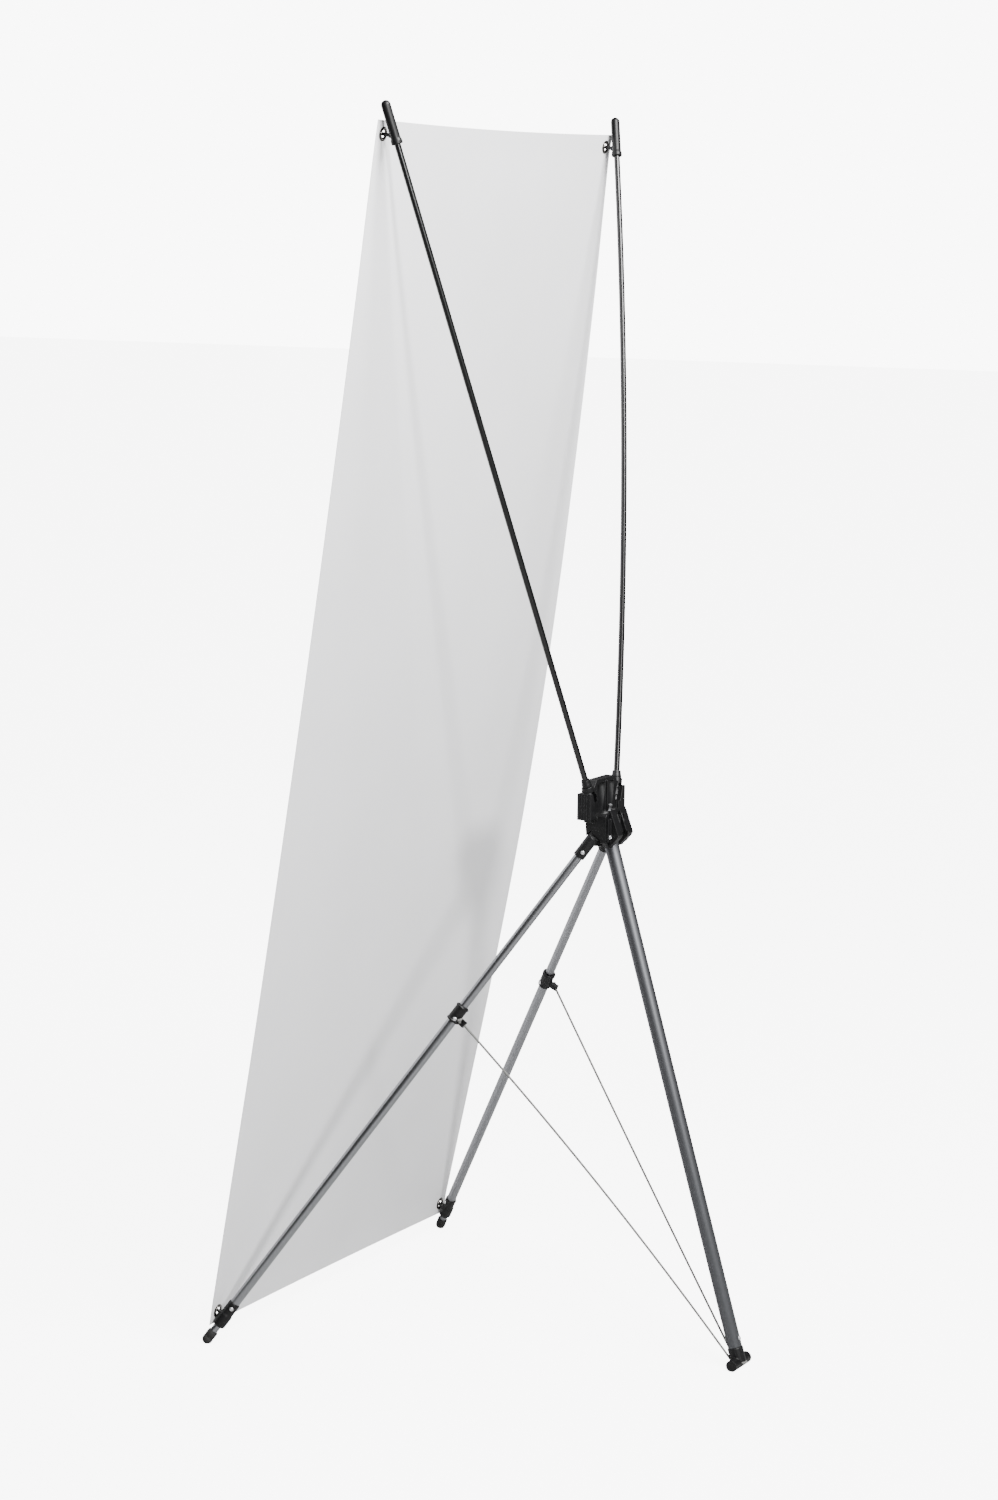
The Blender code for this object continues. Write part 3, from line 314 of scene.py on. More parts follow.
def roundedProfile(profile, radius, cuts=3):
    # rounds the corners of a (radius, height) profile; where it starts on the axis, its two ends stay sharp
    out = []
    last = len(profile) - 1
    startsOnAxis = profile[0][0] < 1e-7
    for i, here in enumerate(profile):
        here = Vector(here)
        if startsOnAxis and i in (0, last):
            out.append(tuple(here))
            continue
        before, after = Vector(profile[i - 1]), Vector(profile[(i + 1) % len(profile)])
        toBefore, toAfter = before - here, after - here
        reach = min(radius, toBefore.length * 0.45, toAfter.length * 0.45)
        start, end = here + toBefore.normalized() * reach, here + toAfter.normalized() * reach
        for n in range(cuts + 1):
            t = n / cuts
            out.append(tuple(start * (1 - t) ** 2 + here * 2 * t * (1 - t) + end * t * t))
    return out


def nodePoints(node):
    return np.array([v.co for v in frame["nodes"][node].data.vertices], float)


def axisOf(node, way=None):
    # the two end centres of a straight round CAD node, lower end first, and its outer radius
    points = nodePoints(node)
    middle = (points.min(0) + points.max(0)) / 2
    if way is None:
        way = np.linalg.svd(points - points.mean(0), full_matrices=False)[2][0]
    way = np.array(way, float)
    way /= np.linalg.norm(way)
    if way[2] < 0:
        way = -way
    along = (points - middle) @ way
    ends = [points[np.abs(along - edge) < 0.0004].mean(0) for edge in (along.min(), along.max())]
    way = (ends[1] - ends[0]) / np.linalg.norm(ends[1] - ends[0])
    off = points - ends[0] - np.outer((points - ends[0]) @ way, way)
    return Vector(ends[0]), Vector(ends[1]), float(np.linalg.norm(off, axis=1).max())


def legWay(side):
    low, high, _ = axisOf(f"lower_tube_{side}")
    return (high - low).normalized()


def copyNode(node):
    # a merged copy of a CAD node, to shape further
    bm = bmesh.new()
    bm.from_mesh(frame["nodes"][node].data)
    bmesh.ops.remove_doubles(bm, verts=bm.verts, dist=0.00001)
    mesh = bpy.data.meshes.new(node)
    bm.to_mesh(mesh)
    bm.free()
    copy = bpy.data.objects.new(node + "Copy", mesh)
    bpy.context.scene.collection.objects.link(copy)
    return copy


def applyModifiers(piece):
    bpy.context.view_layer.update()
    graph = bpy.context.evaluated_depsgraph_get()
    mesh = bpy.data.meshes.new_from_object(piece.evaluated_get(graph))
    piece.modifiers.clear()
    piece.data = mesh
    return piece


def shapeWith(piece, bm, operation, matrix=None):
    # joins or cuts one solid, then removes it
    if matrix:
        bmesh.ops.transform(bm, matrix=matrix, verts=bm.verts)
    bmesh.ops.recalc_face_normals(bm, faces=bm.faces)
    mesh = bpy.data.meshes.new("tool")
    bm.to_mesh(mesh)
    bm.free()
    tool = bpy.data.objects.new("tool", mesh)
    bpy.context.scene.collection.objects.link(tool)
    modifier = piece.modifiers.new("shape", "BOOLEAN")
    modifier.object = tool
    modifier.operation = operation
    modifier.solver = "MANIFOLD"
    applyModifiers(piece)
    bpy.data.objects.remove(tool, do_unlink=True)
    return piece


def blockMesh(low, high):
    bm = bmesh.new()
    bmesh.ops.create_cube(bm, size=1)
    low, high = Vector(low), Vector(high)
    place = Matrix.Translation((low + high) / 2) @ Matrix.Diagonal((*(high - low), 1))
    bmesh.ops.transform(bm, matrix=place, verts=bm.verts)
    return bm


def sideBlock(sign, inner, outer, low, high):
    # a block between two distances from the middle plane, on one side of it; low and high are (y, z)
    return blockMesh((min(sign * inner, sign * outer), *low), (max(sign * inner, sign * outer), *high))


def barMesh(start, end, radius, steps=32, edge=0.0004):
    length = (Vector(end) - Vector(start)).length
    profile = roundedProfile([(0, 0), (radius, 0), (radius, length), (0, length)], edge)
    return turnProfile(profile, framePoint(Vector(start), Vector(end) - Vector(start)), steps)


def soften(piece, voxel, passes):
    # moulded plastic has no sharp edges: remeshes the solid finely, then relaxes it
    remesh = piece.modifiers.new("remesh", "REMESH")
    remesh.mode = "VOXEL"
    remesh.voxel_size = voxel
    relax = piece.modifiers.new("relax", "SMOOTH")
    relax.factor = 0.5
    relax.iterations = passes
    applyModifiers(piece)
    piece.data.shade_smooth()
    return piece


def moulded(name, node, body, voxel, passes, work=None):
    piece = copyNode(node)
    if work:
        work(piece)
    soften(piece, voxel, passes)
    piece.name = name
    piece.data.name = name
    return settle(piece, blackNylon, body, [node])


# ---- geometry nodes: a turned fastener repeated at marked points, and a bar that follows a path


def newTree(name, sockets):
    # a tree with geometry in and out, and the named inputs between them
    tree = bpy.data.node_groups.new(name, "GeometryNodeTree")
    tree.interface.new_socket("Geometry", in_out="INPUT", socket_type="NodeSocketGeometry")
    for label, kind in sockets.items():
        tree.interface.new_socket(label, in_out="INPUT", socket_type="NodeSocket" + kind)
    tree.interface.new_socket("Geometry", in_out="OUTPUT", socket_type="NodeSocketGeometry")
    return tree


def makeRepeatTree(material):
    tree = newTree("repeatAtMarks", {"Piece": "Object", "Size": "Float"})
    entry = addNode(tree, "NodeGroupInput")
    way = addNode(tree, "GeometryNodeInputNamedAttribute", {"data_type": "FLOAT_VECTOR"}, Name="way")
    turn = addNode(tree, "FunctionNodeAlignRotationToVector", {"axis": "Z"},
                   {"Vector": way.outputs["Attribute"]})
    info = addNode(tree, "GeometryNodeObjectInfo", links={"Object": entry.outputs["Piece"]})
    marks = addNode(tree, "GeometryNodeMeshToPoints", links={"Mesh": entry.outputs["Geometry"]})
    copies = addNode(tree, "GeometryNodeInstanceOnPoints", links={
        "Points": marks.outputs["Points"], "Instance": info.outputs["Geometry"],
        "Rotation": turn.outputs["Rotation"], "Scale": entry.outputs["Size"]})
    real = addNode(tree, "GeometryNodeRealizeInstances", links={"Geometry": copies.outputs["Instances"]})
    paint = addNode(tree, "GeometryNodeSetMaterial", links={"Geometry": real.outputs["Geometry"]},
                    Material=material)
    addNode(tree, "NodeGroupOutput", links={"Geometry": paint.outputs["Geometry"]})
    return tree


def makeBarTree(material):
    tree = newTree("barAlongPath", {"Radius": "Float", "Sides": "Int"})
    entry = addNode(tree, "NodeGroupInput")
    path = addNode(tree, "GeometryNodeMeshToCurve", links={"Mesh": entry.outputs["Geometry"]})
    ring = addNode(tree, "GeometryNodeCurvePrimitiveCircle", links={
        "Resolution": entry.outputs["Sides"], "Radius": entry.outputs["Radius"]})
    sweep = addNode(tree, "GeometryNodeCurveToMesh", links={
        "Curve": path.outputs["Curve"], "Profile Curve": ring.outputs["Curve"]})
    sweep.inputs["Fill Caps"].default_value = True
    smooth = addNode(tree, "GeometryNodeSetShadeSmooth", links={"Geometry": sweep.outputs["Mesh"]})
    paint = addNode(tree, "GeometryNodeSetMaterial", links={"Geometry": smooth.outputs["Geometry"]},
                    Material=material)
    addNode(tree, "NodeGroupOutput", links={"Geometry": paint.outputs["Geometry"]})
    return tree


def runTree(name, tree, points, edges, inputs, ways=None):
    # runs a tree on marked points and keeps the result as a plain mesh
    mesh = bpy.data.meshes.new(name + "Marks")
    mesh.from_pydata([tuple(p) for p in points], edges, [])
    if ways:
        mark = mesh.attributes.new("way", "FLOAT_VECTOR", "POINT")
        for spot, way in zip(mark.data, ways):
            spot.vector = way
    piece = bpy.data.objects.new(name, mesh)
    bpy.context.scene.collection.objects.link(piece)
    modifier = piece.modifiers.new("nodes", "NODES")
    modifier.node_group = tree
    sockets = {s.name: s.identifier for s in tree.interface.items_tree if s.in_out == "INPUT"}
    for key, value in inputs.items():
        modifier[sockets[key]] = value
    applyModifiers(piece)
    return piece


repeatSteel = makeRepeatTree(zincSteel)
barRod = makeBarTree(rodGlass)


def repeated(name, bm, marks, ways, body, replaced):
    # one turned piece repeated at marks on one body
    mesh = bpy.data.meshes.new(name + "One")
    bmesh.ops.recalc_face_normals(bm, faces=bm.faces)
    bm.to_mesh(mesh)
    bm.free()
    smoothFaces(mesh)
    one = bpy.data.objects.new(name + "One", mesh)
    bpy.context.scene.collection.objects.link(one)
    piece = runTree(name, repeatSteel, marks, [], {"Piece": one, "Size": 1.0}, ways)
    bpy.data.objects.remove(one, do_unlink=True)
    return settle(piece, zincSteel, body, replaced)


# ---- camera and light

cameraView = {
    "place": (3.669, 2.08105, 1.4747),
    "turn": 120.237,  # degrees round Z from +Y
    "down": 9.181,
    "roll": 0.735,
    "lens": 77.23,
}


def makeCamera():
    turn, down, roll = (radians(cameraView[k]) for k in ("turn", "down", "roll"))
    forward = Vector((-sin(turn) * cos(down), cos(turn) * cos(down), -sin(down)))
    right = forward.cross(Vector((0, 0, 1))).normalized()
    up = right.cross(forward)
    across = right * cos(roll) + up * sin(roll)
    above = up * cos(roll) - right * sin(roll)
    data = bpy.data.cameras.new("camera")
    data.lens = cameraView["lens"]
    data.sensor_width = 36
    camera = bpy.data.objects.new("camera", data)
    turned = Matrix((across, above, -forward)).transposed().to_4x4()
    camera.matrix_world = Matrix.Translation(cameraView["place"]) @ turned
    bpy.context.scene.collection.objects.link(camera)
    bpy.context.scene.camera = camera


lightSet = {
    "keyWay": (0.512, 0.778, 0.363),  # from the hub towards the key light
    "keyDistance": 3.4,
    "keySize": 0.42,
    "keyPower": 130,
    "topPlace": (0.35, 1.25, 2.75),  # soft box over and behind, which is strongest on the upper half
    "topAim": (0, 0, 1.2),
    "topSize": 1.0,
    "topPower": 165,
    "fillPlace": (-0.9, -3.4, 1.7),  # in front of the sheet's printed side
    "fillSize": 1.8,
    "fillPower": 110,
    "roomStrength": 0.08,
    "backdropStrength": 9.0,  # as the camera sees it
    "floorStrength": 7.5,
}


def makeLights():
    s = lightSet
    low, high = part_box("hub_body")
    hubMiddle = (low + high) / 2
    keyPlace = hubMiddle + Vector(s["keyWay"]) * s["keyDistance"]
    lamps = [("key", "DISK", keyPlace, hubMiddle),
             ("top", "SQUARE", Vector(s["topPlace"]), Vector(s["topAim"])),
             ("fill", "SQUARE", Vector(s["fillPlace"]), hubMiddle)]
    for name, shape, place, aim in lamps:
        light = bpy.data.lights.new(name, "AREA")
        light.shape, light.size, light.energy = shape, s[name + "Size"], s[name + "Power"]
        lamp = bpy.data.objects.new(name, light)
        lamp.matrix_world = framePoint(place, place - aim)
        bpy.context.scene.collection.objects.link(lamp)
    world = bpy.data.worlds.new("studio")
    world.use_nodes = True
    tree = world.node_tree
    room = tree.nodes["Background"]
    room.inputs["Color"].default_value = (1, 1, 1, 1)
    path = addNode(tree, "ShaderNodeLightPath")
    strength = addNode(tree, "ShaderNodeMapRange", links={"Value": path.outputs["Is Camera Ray"]})
    strength.inputs["To Min"].default_value = s["roomStrength"]
    strength.inputs["To Max"].default_value = s["backdropStrength"]
    tree.links.new(strength.outputs["Result"], room.inputs["Strength"])
    bpy.context.scene.world = world


def makeFloor():
    # white paper sweep: it glows for the camera alone, so the stand's shadows hardly show on it
    bm = bmesh.new()
    bmesh.ops.create_grid(bm, x_segments=1, y_segments=1, size=30)
    mesh = bpy.data.meshes.new("floor")
    bm.to_mesh(mesh)
    bm.free()
    floor = bpy.data.objects.new("floor", mesh)
    floor.location.z = -0.0002
    bpy.context.scene.collection.objects.link(floor)
    material, tree, shader = newMaterial("paperFloor", "a8a8a8", 0.9)
    shader.inputs["Specular IOR Level"].default_value = 0.1
    shader.inputs["Emission Color"].default_value = (1, 1, 1, 1)
    path = addNode(tree, "ShaderNodeLightPath")
    glow = addNode(tree, "ShaderNodeMapRange", links={"Value": path.outputs["Is Camera Ray"]})
    glow.inputs["To Min"].default_value = 0.0
    glow.inputs["To Max"].default_value = lightSet["floorStrength"]
    tree.links.new(glow.outputs["Result"], shader.inputs["Emission Strength"])
    floor.data.materials.append(material)


makeCamera()
makeLights()
makeFloor()
print("camera and lights made")

# ---- cords

cordSet = {
    "lugHole": (0.123952, -0.035455, 0.441727),
    "footHole": (0.0045, 0.311641, 0.0082),
    "start": 0.0028,  # from the middle of the lug's hole
    "tail": 0.005,  # past the foot's hole
    "bow": 0.009,
    "bowWay": (0, 0.45, 0.9),
    "lift": {"right": 1.0, "left": -0.15},
    "steps": 72,
    "diameter": 0.003,
    "sides": 14,
}
bridgeSet = {"footY": 0.319741, "barRadius": 0.0078, "bend": 0.0035, "gap": 0.0009, "inside": 0.001}
knotSet = {"behind": 0.0052, "turns": 1.35, "radius": 0.0019, "swell": 0.0005, "top": 0.0022,
           "length": 0.0042, "steps": 60, "sides": 10}


def mirrorX(point, side):
    sign = 1 if side == "right" else -1
    return Vector((point[0] * sign, point[1], point[2]))


def sweepTube(path, radius, sides):
    # a tube along path with UV in metres, closed at both ends
    bm = bmesh.new()
    layer = bm.loops.layers.uv.new("metres")
    rings, run = [], [0.0]
    side = Vector((1, 0, 0))
    for i, point in enumerate(path):
        ahead = path[min(i + 1, len(path) - 1)] - path[max(i - 1, 0)]
        way = ahead.normalized()
        side = (side - way * side.dot(way)).normalized()
        other = way.cross(side)
        angles = [tau * j / sides for j in range(sides)]
        rings.append([bm.verts.new(point + (side * cos(a) + other * sin(a)) * radius) for a in angles])
        if i:
            run.append(run[-1] + (point - path[i - 1]).length)
    girth = tau * radius / sides
    for i in range(len(path) - 1):
        for j in range(sides):
            k = (j + 1) % sides
            face = bm.faces.new((rings[i][j], rings[i][k], rings[i + 1][k], rings[i + 1][j]))
            spots = ((j, i), (j + 1, i), (j + 1, i + 1), (j, i + 1))
            for loop, (n, m) in zip(face.loops, spots):
                loop[layer].uv = (n * girth, run[m])
    bm.faces.new(rings[0])
    bm.faces.new(rings[-1])
    return bm


def bowedLine(start, end, bow, steps):
    # points of a line that bows to its side, most at its middle
    shares = [i / steps for i in range(steps + 1)]
    return [start + (end - start) * t + bow * (4 * t * (1 - t)) for t in shares]


def cordRoute(side):
    lug, foot = mirrorX(cordSet["lugHole"], side), mirrorX(cordSet["footHole"], side)
    start = lug + (foot - lug).normalized() * cordSet["start"]
    bow = Vector(cordSet["bowWay"]).normalized() * cordSet["bow"] * cordSet["lift"][side]
    return bowedLine(start, foot, bow, cordSet["steps"]) + [foot + Vector((0, cordSet["tail"], 0))]


def makeBridge():
    # the turn of cord behind the crossbar, from one hole of the foot to the other
    s = bridgeSet
    x, z = cordSet["footHole"][0], cordSet["footHole"][2]
    back = s["footY"] + s["barRadius"] + cordSet["diameter"] / 2 + s["gap"]
    bend = s["bend"]
    path = [Vector((-x, s["footY"] - s["inside"], z))]
    for i in range(9):
        angle = pi / 2 * i / 8
        path.append(Vector((-x + bend * (1 - cos(angle)), back - bend + bend * sin(angle), z)))
    path += [Vector((-p.x, p.y, p.z)) for p in reversed(path)]
    bm = sweepTube(path, cordSet["diameter"] / 2, cordSet["sides"])
    return newPiece("cordBridge", bm, cordBraid, "leg_rear", ["cord_bridge"])


def makeKnot(side):
    # a stopper knot behind the collar's lug: cord wound on itself for a turn and a third
    k = knotSet
    lug = mirrorX(cordSet["lugHole"], side)
    way = (mirrorX(cordSet["footHole"], side) - lug).normalized()
    matrix = framePoint(lug - way * k["behind"], way)
    path = []
    for i in range(k["steps"] + 1):
        angle = tau * k["turns"] * i / k["steps"]
        reach = k["radius"] + k["swell"] * sin(angle * 2)
        height = k["top"] - k["length"] * i / k["steps"]
        path.append(matrix @ Vector((reach * cos(angle), reach * sin(angle), height)))
    bm = sweepTube(path, cordSet["diameter"] / 2, k["sides"])
    return newPiece("cordKnot" + side.title(), bm, cordBraid, "leg_" + side)


def makeCords():
    bridge = makeBridge()
    for side in ("right", "left"):
        route = cordRoute(side)
        bm = sweepTube(route, cordSet["diameter"] / 2, cordSet["sides"])
        cord = newPiece("cord" + side.title(), bm, cordBraid, "leg_rear", ["cord_" + side])
        knot = makeKnot(side)
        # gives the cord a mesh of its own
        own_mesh(cord)


makeCords()

# ---- banner sheet with its eyelets

sheetSet = {
    "width": 0.6,
    "height": 1.6,
    "lowEdge": 0.026,
    "thick": 0.0005,
    "bellyRight": 0.009,
    "bellyLeft": 0.030,
    "flatEnd": 0.029,  # band at each end that the eyelets hold flat
    "sag": 0.0037,  # of the top edge
    "rise": 0.0022,  # of the bottom edge
    "insetX": 0.015,
    "insetV": 0.017,
    "columns": 72,
    "rows": 180,
    "ripple": 0.0007,
}
# cadHalf is half of the CAD sheet's wall
eyeletSet = {"bore": 0.0053, "barrel": 0.0061, "flange": 0.0090, "plate": 0.0008, "cadHalf": 0.0004}
sheetForward = Vector(joints["banner_unhook"]["axis"]).normalized()
sheetUp = Vector((0, sheetForward.z, -sheetForward.y))
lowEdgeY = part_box("banner_sheet")[0].y - sheetForward.y * eyeletSet["cadHalf"]
sheetBase = Vector((0, lowEdgeY, sheetSet["lowEdge"]))


def sheetPoint(x, v, forward=0.0):
    return sheetBase + Vector((x, 0, 0)) + sheetUp * v + sheetForward * forward


def sheetBelly(x, v):
    # how far the sheet stands behind its flat: a belly, and handling ripples that fade at the two held ends
    s = sheetSet
    share = x / s["width"] + 0.5
    deepest = s["bellyLeft"] + (s["bellyRight"] - s["bellyLeft"]) * share
    rise = (v - s["flatEnd"]) / (s["height"] - 2 * s["flatEnd"])
    broad = noise.noise(Vector((x * 5, v * 2.2, 3.1)))
    slanted = noise.noise(Vector((x * 11 + v * 3, v * 5, 8.4)))
    clamped = min(1.0, max(0.0, rise))
    held = clamped * min(1.0, max(0.0, 1 - rise))
    return deepest * sin(pi * clamped) + s["ripple"] * (broad + 0.5 * slanted) * min(1.0, held * 12)


def makeSheet():
    s = sheetSet
    bm = bmesh.new()
    layer = bm.loops.layers.uv.new("metres")
    grid = []
    for j in range(s["rows"] + 1):
        line = []
        for i in range(s["columns"] + 1):
            x, v = s["width"] * (i / s["columns"] - 0.5), s["height"] * j / s["rows"]
            inward = 1 - (2 * x / s["width"]) ** 2
            drop = s["sag"] * inward * v / s["height"]
            rise = s["rise"] * inward * (1 - v / s["height"])
            line.append((bm.verts.new(sheetPoint(x, v - drop + rise, -sheetBelly(x, v))), (x, v)))
        grid.append(line)
    for j in range(s["rows"]):
        for i in range(s["columns"]):
            corners = (grid[j][i], grid[j][i + 1], grid[j + 1][i + 1], grid[j + 1][i])
            face = bm.faces.new([c[0] for c in corners])
            for loop, corner in zip(face.loops, corners):
                loop[layer].uv = corner[1]
    bm.normal_update()
    mesh = bpy.data.meshes.new("bannerSheet")
    bm.to_mesh(mesh)
    bm.free()
    sheet = bpy.data.objects.new("bannerSheet", mesh)
    bpy.context.scene.collection.objects.link(sheet)
    wall = sheet.modifiers.new("thickness", "SOLIDIFY")
    wall.thickness = s["thick"]
    wall.offset = 0
    applyModifiers(sheet)
    through = sheetForward * 0.01
    for x, v in eyeletPlaces():
        centre = sheetPoint(x, v)
        tool = barMesh(centre - through, centre + through, eyeletSet["barrel"] + 0.0002, 32)
        shapeWith(sheet, tool, "DIFFERENCE")
    smoothFaces(sheet.data)
    settle(sheet, pvcSheet, "banner", ["banner_sheet"])


def eyeletPlaces():
    x, low = sheetSet["width"] / 2 - sheetSet["insetX"], sheetSet["insetV"]
    high = sheetSet["height"] - low
    return [(x, high), (-x, high), (x, low), (-x, low)]


def makeEyelets():
    # each eyelet is a flanged tube in front, rolled over a washer behind
    bore, barrel, flange, plate = (eyeletSet[k] for k in ("bore", "barrel", "flange", "plate"))
    corners = ("top_right", "top_left", "bottom_right", "bottom_left")
    face = eyeletSet["cadHalf"] + 0.0001
    back = -face - plate
    lip = [(bore, back - plate), (barrel + 0.0006, back - plate * 1.3), (barrel + 0.0013, back - 0.0001),
           (barrel, back - 0.0001), (barrel, face), (flange - 0.0004, face), (flange, face + plate * 0.4),
           (flange - 0.0008, face + plate * 1.1), (bore + 0.0006, face + plate * 1.2),
           (bore, face + plate * 0.5)]
    washer = [(barrel + 0.0002, back), (barrel + 0.0002, -face), (flange, -face),
              (flange, -face - plate * 0.4), (flange - 0.0012, back)]
    marks = [sheetPoint(x, v) for x, v in eyeletPlaces()]
    ways = [sheetForward] * 4
    made = []
    for name, profile, node in (("eyelets", lip, "eyelet_"), ("eyeletWashers", washer, "eyelet_washer_")):
        bm = turnProfile(roundedProfile(profile, 0.0003, 2), Matrix(), 40)
        piece = repeated(name, bm, marks, ways, "banner", [node + c for c in corners])
        coat(piece.data, nickelSteel)
        made.append(piece)
    return made


sheetEyelets = makeEyelets()
makeSheet()
print("sheet made")

# ---- rods, ferrules and top hooks

rodSet = {"radius": 0.004, "base": (0.042, -0.024, 0.049), "bow": (0.010, 0.006), "steps": 60, "sides": 32,
          "intoHub": 0.036, "intoHook": 0.028, "standoff": 0.018, "bore": 0.0045}
ferruleSet = {"radius": 0.0056, "flange": 0.0066, "mouth": 0.0055, "down": -0.012, "up": 0.004}
hookSet = {
    "radius": 0.0061,
    "above": 0.045,
    "below": 0.010,
    "boreEnd": 0.0283,
    "pegRadius": 0.0023,
    "pegProud": 0.006,
    "pegRoot": 0.0022,  # how far the thicker root of the peg reaches past the cap
    "lip": 0.0011,
    "voxel": 0.00034,
}
hubBehindHinge, hubOverHinge = 0.0145, 0.0135  # the hub's middle from the rear leg's hinge


def hubOrigin():
    pivot = Vector(joints["leg_fold_rear"]["pos_m"])
    return Vector((0, pivot.y + hubBehindHinge, pivot.z + hubOverHinge))


def rodLine(side):
    sign = 1 if side == "right" else -1
    bx, by, bz = rodSet["base"]
    base = hubOrigin() + Vector((sign * bx, by, bz))
    hook = sheetPoint(sign * (sheetSet["width"] / 2 - sheetSet["insetX"]),
                      sheetSet["height"] - sheetSet["insetV"], -rodSet["standoff"])
    bow = Vector((sign * rodSet["bow"][0], rodSet["bow"][1], 0))
    chord = hook - base
    return base, hook, bow, (chord + 4 * bow).normalized(), (chord - 4 * bow).normalized()


def makeRod(side):
    # a bowed rod, straight where it enters the hub and the hook
    base, hook, bow, startWay, endWay = rodLine(side)
    route = [base - startWay * rodSet["intoHub"]]
    route += bowedLine(base, hook, bow, rodSet["steps"])
    route.append(hook + endWay * rodSet["intoHook"])
    edges = [(i, i + 1) for i in range(len(route) - 1)]
    sizes = {"Radius": rodSet["radius"], "Sides": rodSet["sides"]}
    rod = runTree("rod" + side.title(), barRod, route, edges, sizes)
    rod.data.set_sharp_from_angle(angle=radians(40))
    settle(rod, rodGlass, "hub", ["rod_" + side])


def makeFerrule(side):
    # a sleeve in the hub's socket, with a stop flange and a mouth that tapers in to the rod
    base, _, _, startWay, _ = rodLine(side)
    wide, flange, mouth, down, up = (ferruleSet[k] for k in ("radius", "flange", "mouth", "down", "up"))
    bore = rodSet["bore"]
    profile = [(bore, down), (wide, down), (wide, -0.0056), (flange, -0.0056), (flange, -0.0027),
               (flange - 0.0006, -0.0002), (mouth, up), (bore, up)]
    bm = turnProfile(roundedProfile(profile, 0.0006), framePoint(base, startWay), 48)
    newPiece("rodFerrule" + side.title(), bm, blackNylon, "hub", ["rod_ferrule_" + side])


def makeTopHook(side):
    # a domed cap on the rod's end, with a lip at its mouth and a peg that carries the sheet's eyelet
    h = hookSet
    _, hook, _, _, way = rodLine(side)
    low, high, wide, lip = -h["below"], h["above"], h["radius"], h["radius"] + h["lip"]
    bore, boreEnd = rodSet["bore"], h["boreEnd"]
    profile = [(0, high)]
    dome = 10
    for i in range(1, dome + 1):
        angle = pi / 2 * i / dome
        profile.append((wide * sin(angle), high - wide + wide * cos(angle)))
    profile += [(wide, low + 0.008), (lip - 0.0001, low + 0.0045), (lip, low + 0.0008), (lip - 0.0005, low),
                (bore + 0.0004, low), (bore, low + 0.0006), (bore, boreEnd), (0, boreEnd)]
    bm = turnProfile(profile, framePoint(hook, way), 48)
    piece = newPiece("topHook" + side.title(), bm, blackNylon, "hub", ["top_hook_" + side])
    pegStart = hook + sheetForward * (bore + 0.0006)
    pegEnd = hook + sheetForward * (rodSet["standoff"] + h["pegProud"])
    rootEnd = hook + sheetForward * (wide + h["pegRoot"])
    shapeWith(piece, barMesh(pegStart, pegEnd, h["pegRadius"], 32, 0.0012), "UNION")
    shapeWith(piece, barMesh(pegStart, rootEnd, h["pegRadius"] + 0.0012, 32, 0.0010), "UNION")
    soften(piece, h["voxel"], 3)
    shapeWith(piece, barMesh(hook - way * 0.02, hook + way * boreEnd, bore, 40), "DIFFERENCE")
    smoothFaces(piece.data)
    coat(piece.data, blackNylon)


for side in ("right", "left"):
    makeRod(side)
    makeFerrule(side)
    makeTopHook(side)
print("rods made")

# ---- hub and rear cover

hubSet = {
    "voxel": 0.0006,
    "passes": 4,
    "plateRear": -0.017,  # rear face of the upper half, from the hub's middle
    "troughX": 0.0125,
    "troughRadius": 0.0112,
    "troughDeep": 0.0075,
    "troughLow": 0.0035,
    "troughHigh": 0.0455,
    "troughEnd": 0.004,  # rounding of its two ends
    "ribs": 5,
    "ribPitch": 0.0038,
    "ribWide": 0.0016,
    "ribX": (0.046, 0.0476),
    "ribFront": -0.0308,
    "ribZ": (0.001, 0.032),
    "pocketX": (0.004, 0.0245),
    "pocketY": (-0.034, -0.0275),
    "pocketZ": (0.012, 0.042),
}
coverSet = {"voxel": 0.0005, "passes": 3, "rimX": (0.0052, 0.0068), "rimY": (0.001, 0.009),
            "rimZ": (-0.015, 0.004)}


def shapeHub(piece):
    centre = hubOrigin()
    s = hubSet
    place = Matrix.Translation(centre)
    for sign in (1, -1):
        # dished trough on each side of the middle rib, which runs out to nothing at its lower end
        x, y = sign * s["troughX"], s["plateRear"] + s["troughRadius"]
        low = centre + Vector((x, y, s["troughLow"]))
        high = centre + Vector((x, y - s["troughDeep"], s["troughHigh"]))
        shapeWith(piece, barMesh(low, high, s["troughRadius"], 48, s["troughEnd"]), "DIFFERENCE")
        # grip ribs down the outer face of each side block
        for k in range(s["ribs"]):
            y = s["ribFront"] + s["ribPitch"] * k
            rib = sideBlock(sign, *s["ribX"], *zip((y, y + s["ribWide"]), s["ribZ"]))
            shapeWith(piece, rib, "UNION", place)
        # pocket in the front face, which keeps the wall even
        pocket = sideBlock(sign, *s["pocketX"], *zip(s["pocketY"], s["pocketZ"]))
        shapeWith(piece, pocket, "DIFFERENCE", place)


def shapeCover(piece):
    place = Matrix.Translation(hubOrigin())
    for sign in (1, -1):
        # raised rim along the slot
        rim = sideBlock(sign, *coverSet["rimX"], *zip(coverSet["rimY"], coverSet["rimZ"]))
        shapeWith(piece, rim, "UNION", place)


moulded("hubBody", "hub_body", "hub", hubSet["voxel"], hubSet["passes"], shapeHub)
moulded("hubRearCover", "hub_rear_cover", "hub", coverSet["voxel"], coverSet["passes"], shapeCover)
for node in ("latch_spring", "hinge_pin_right", "hinge_pin_left", "hinge_pin_rear"):
    coat(frame["nodes"][node].data, zincSteel)


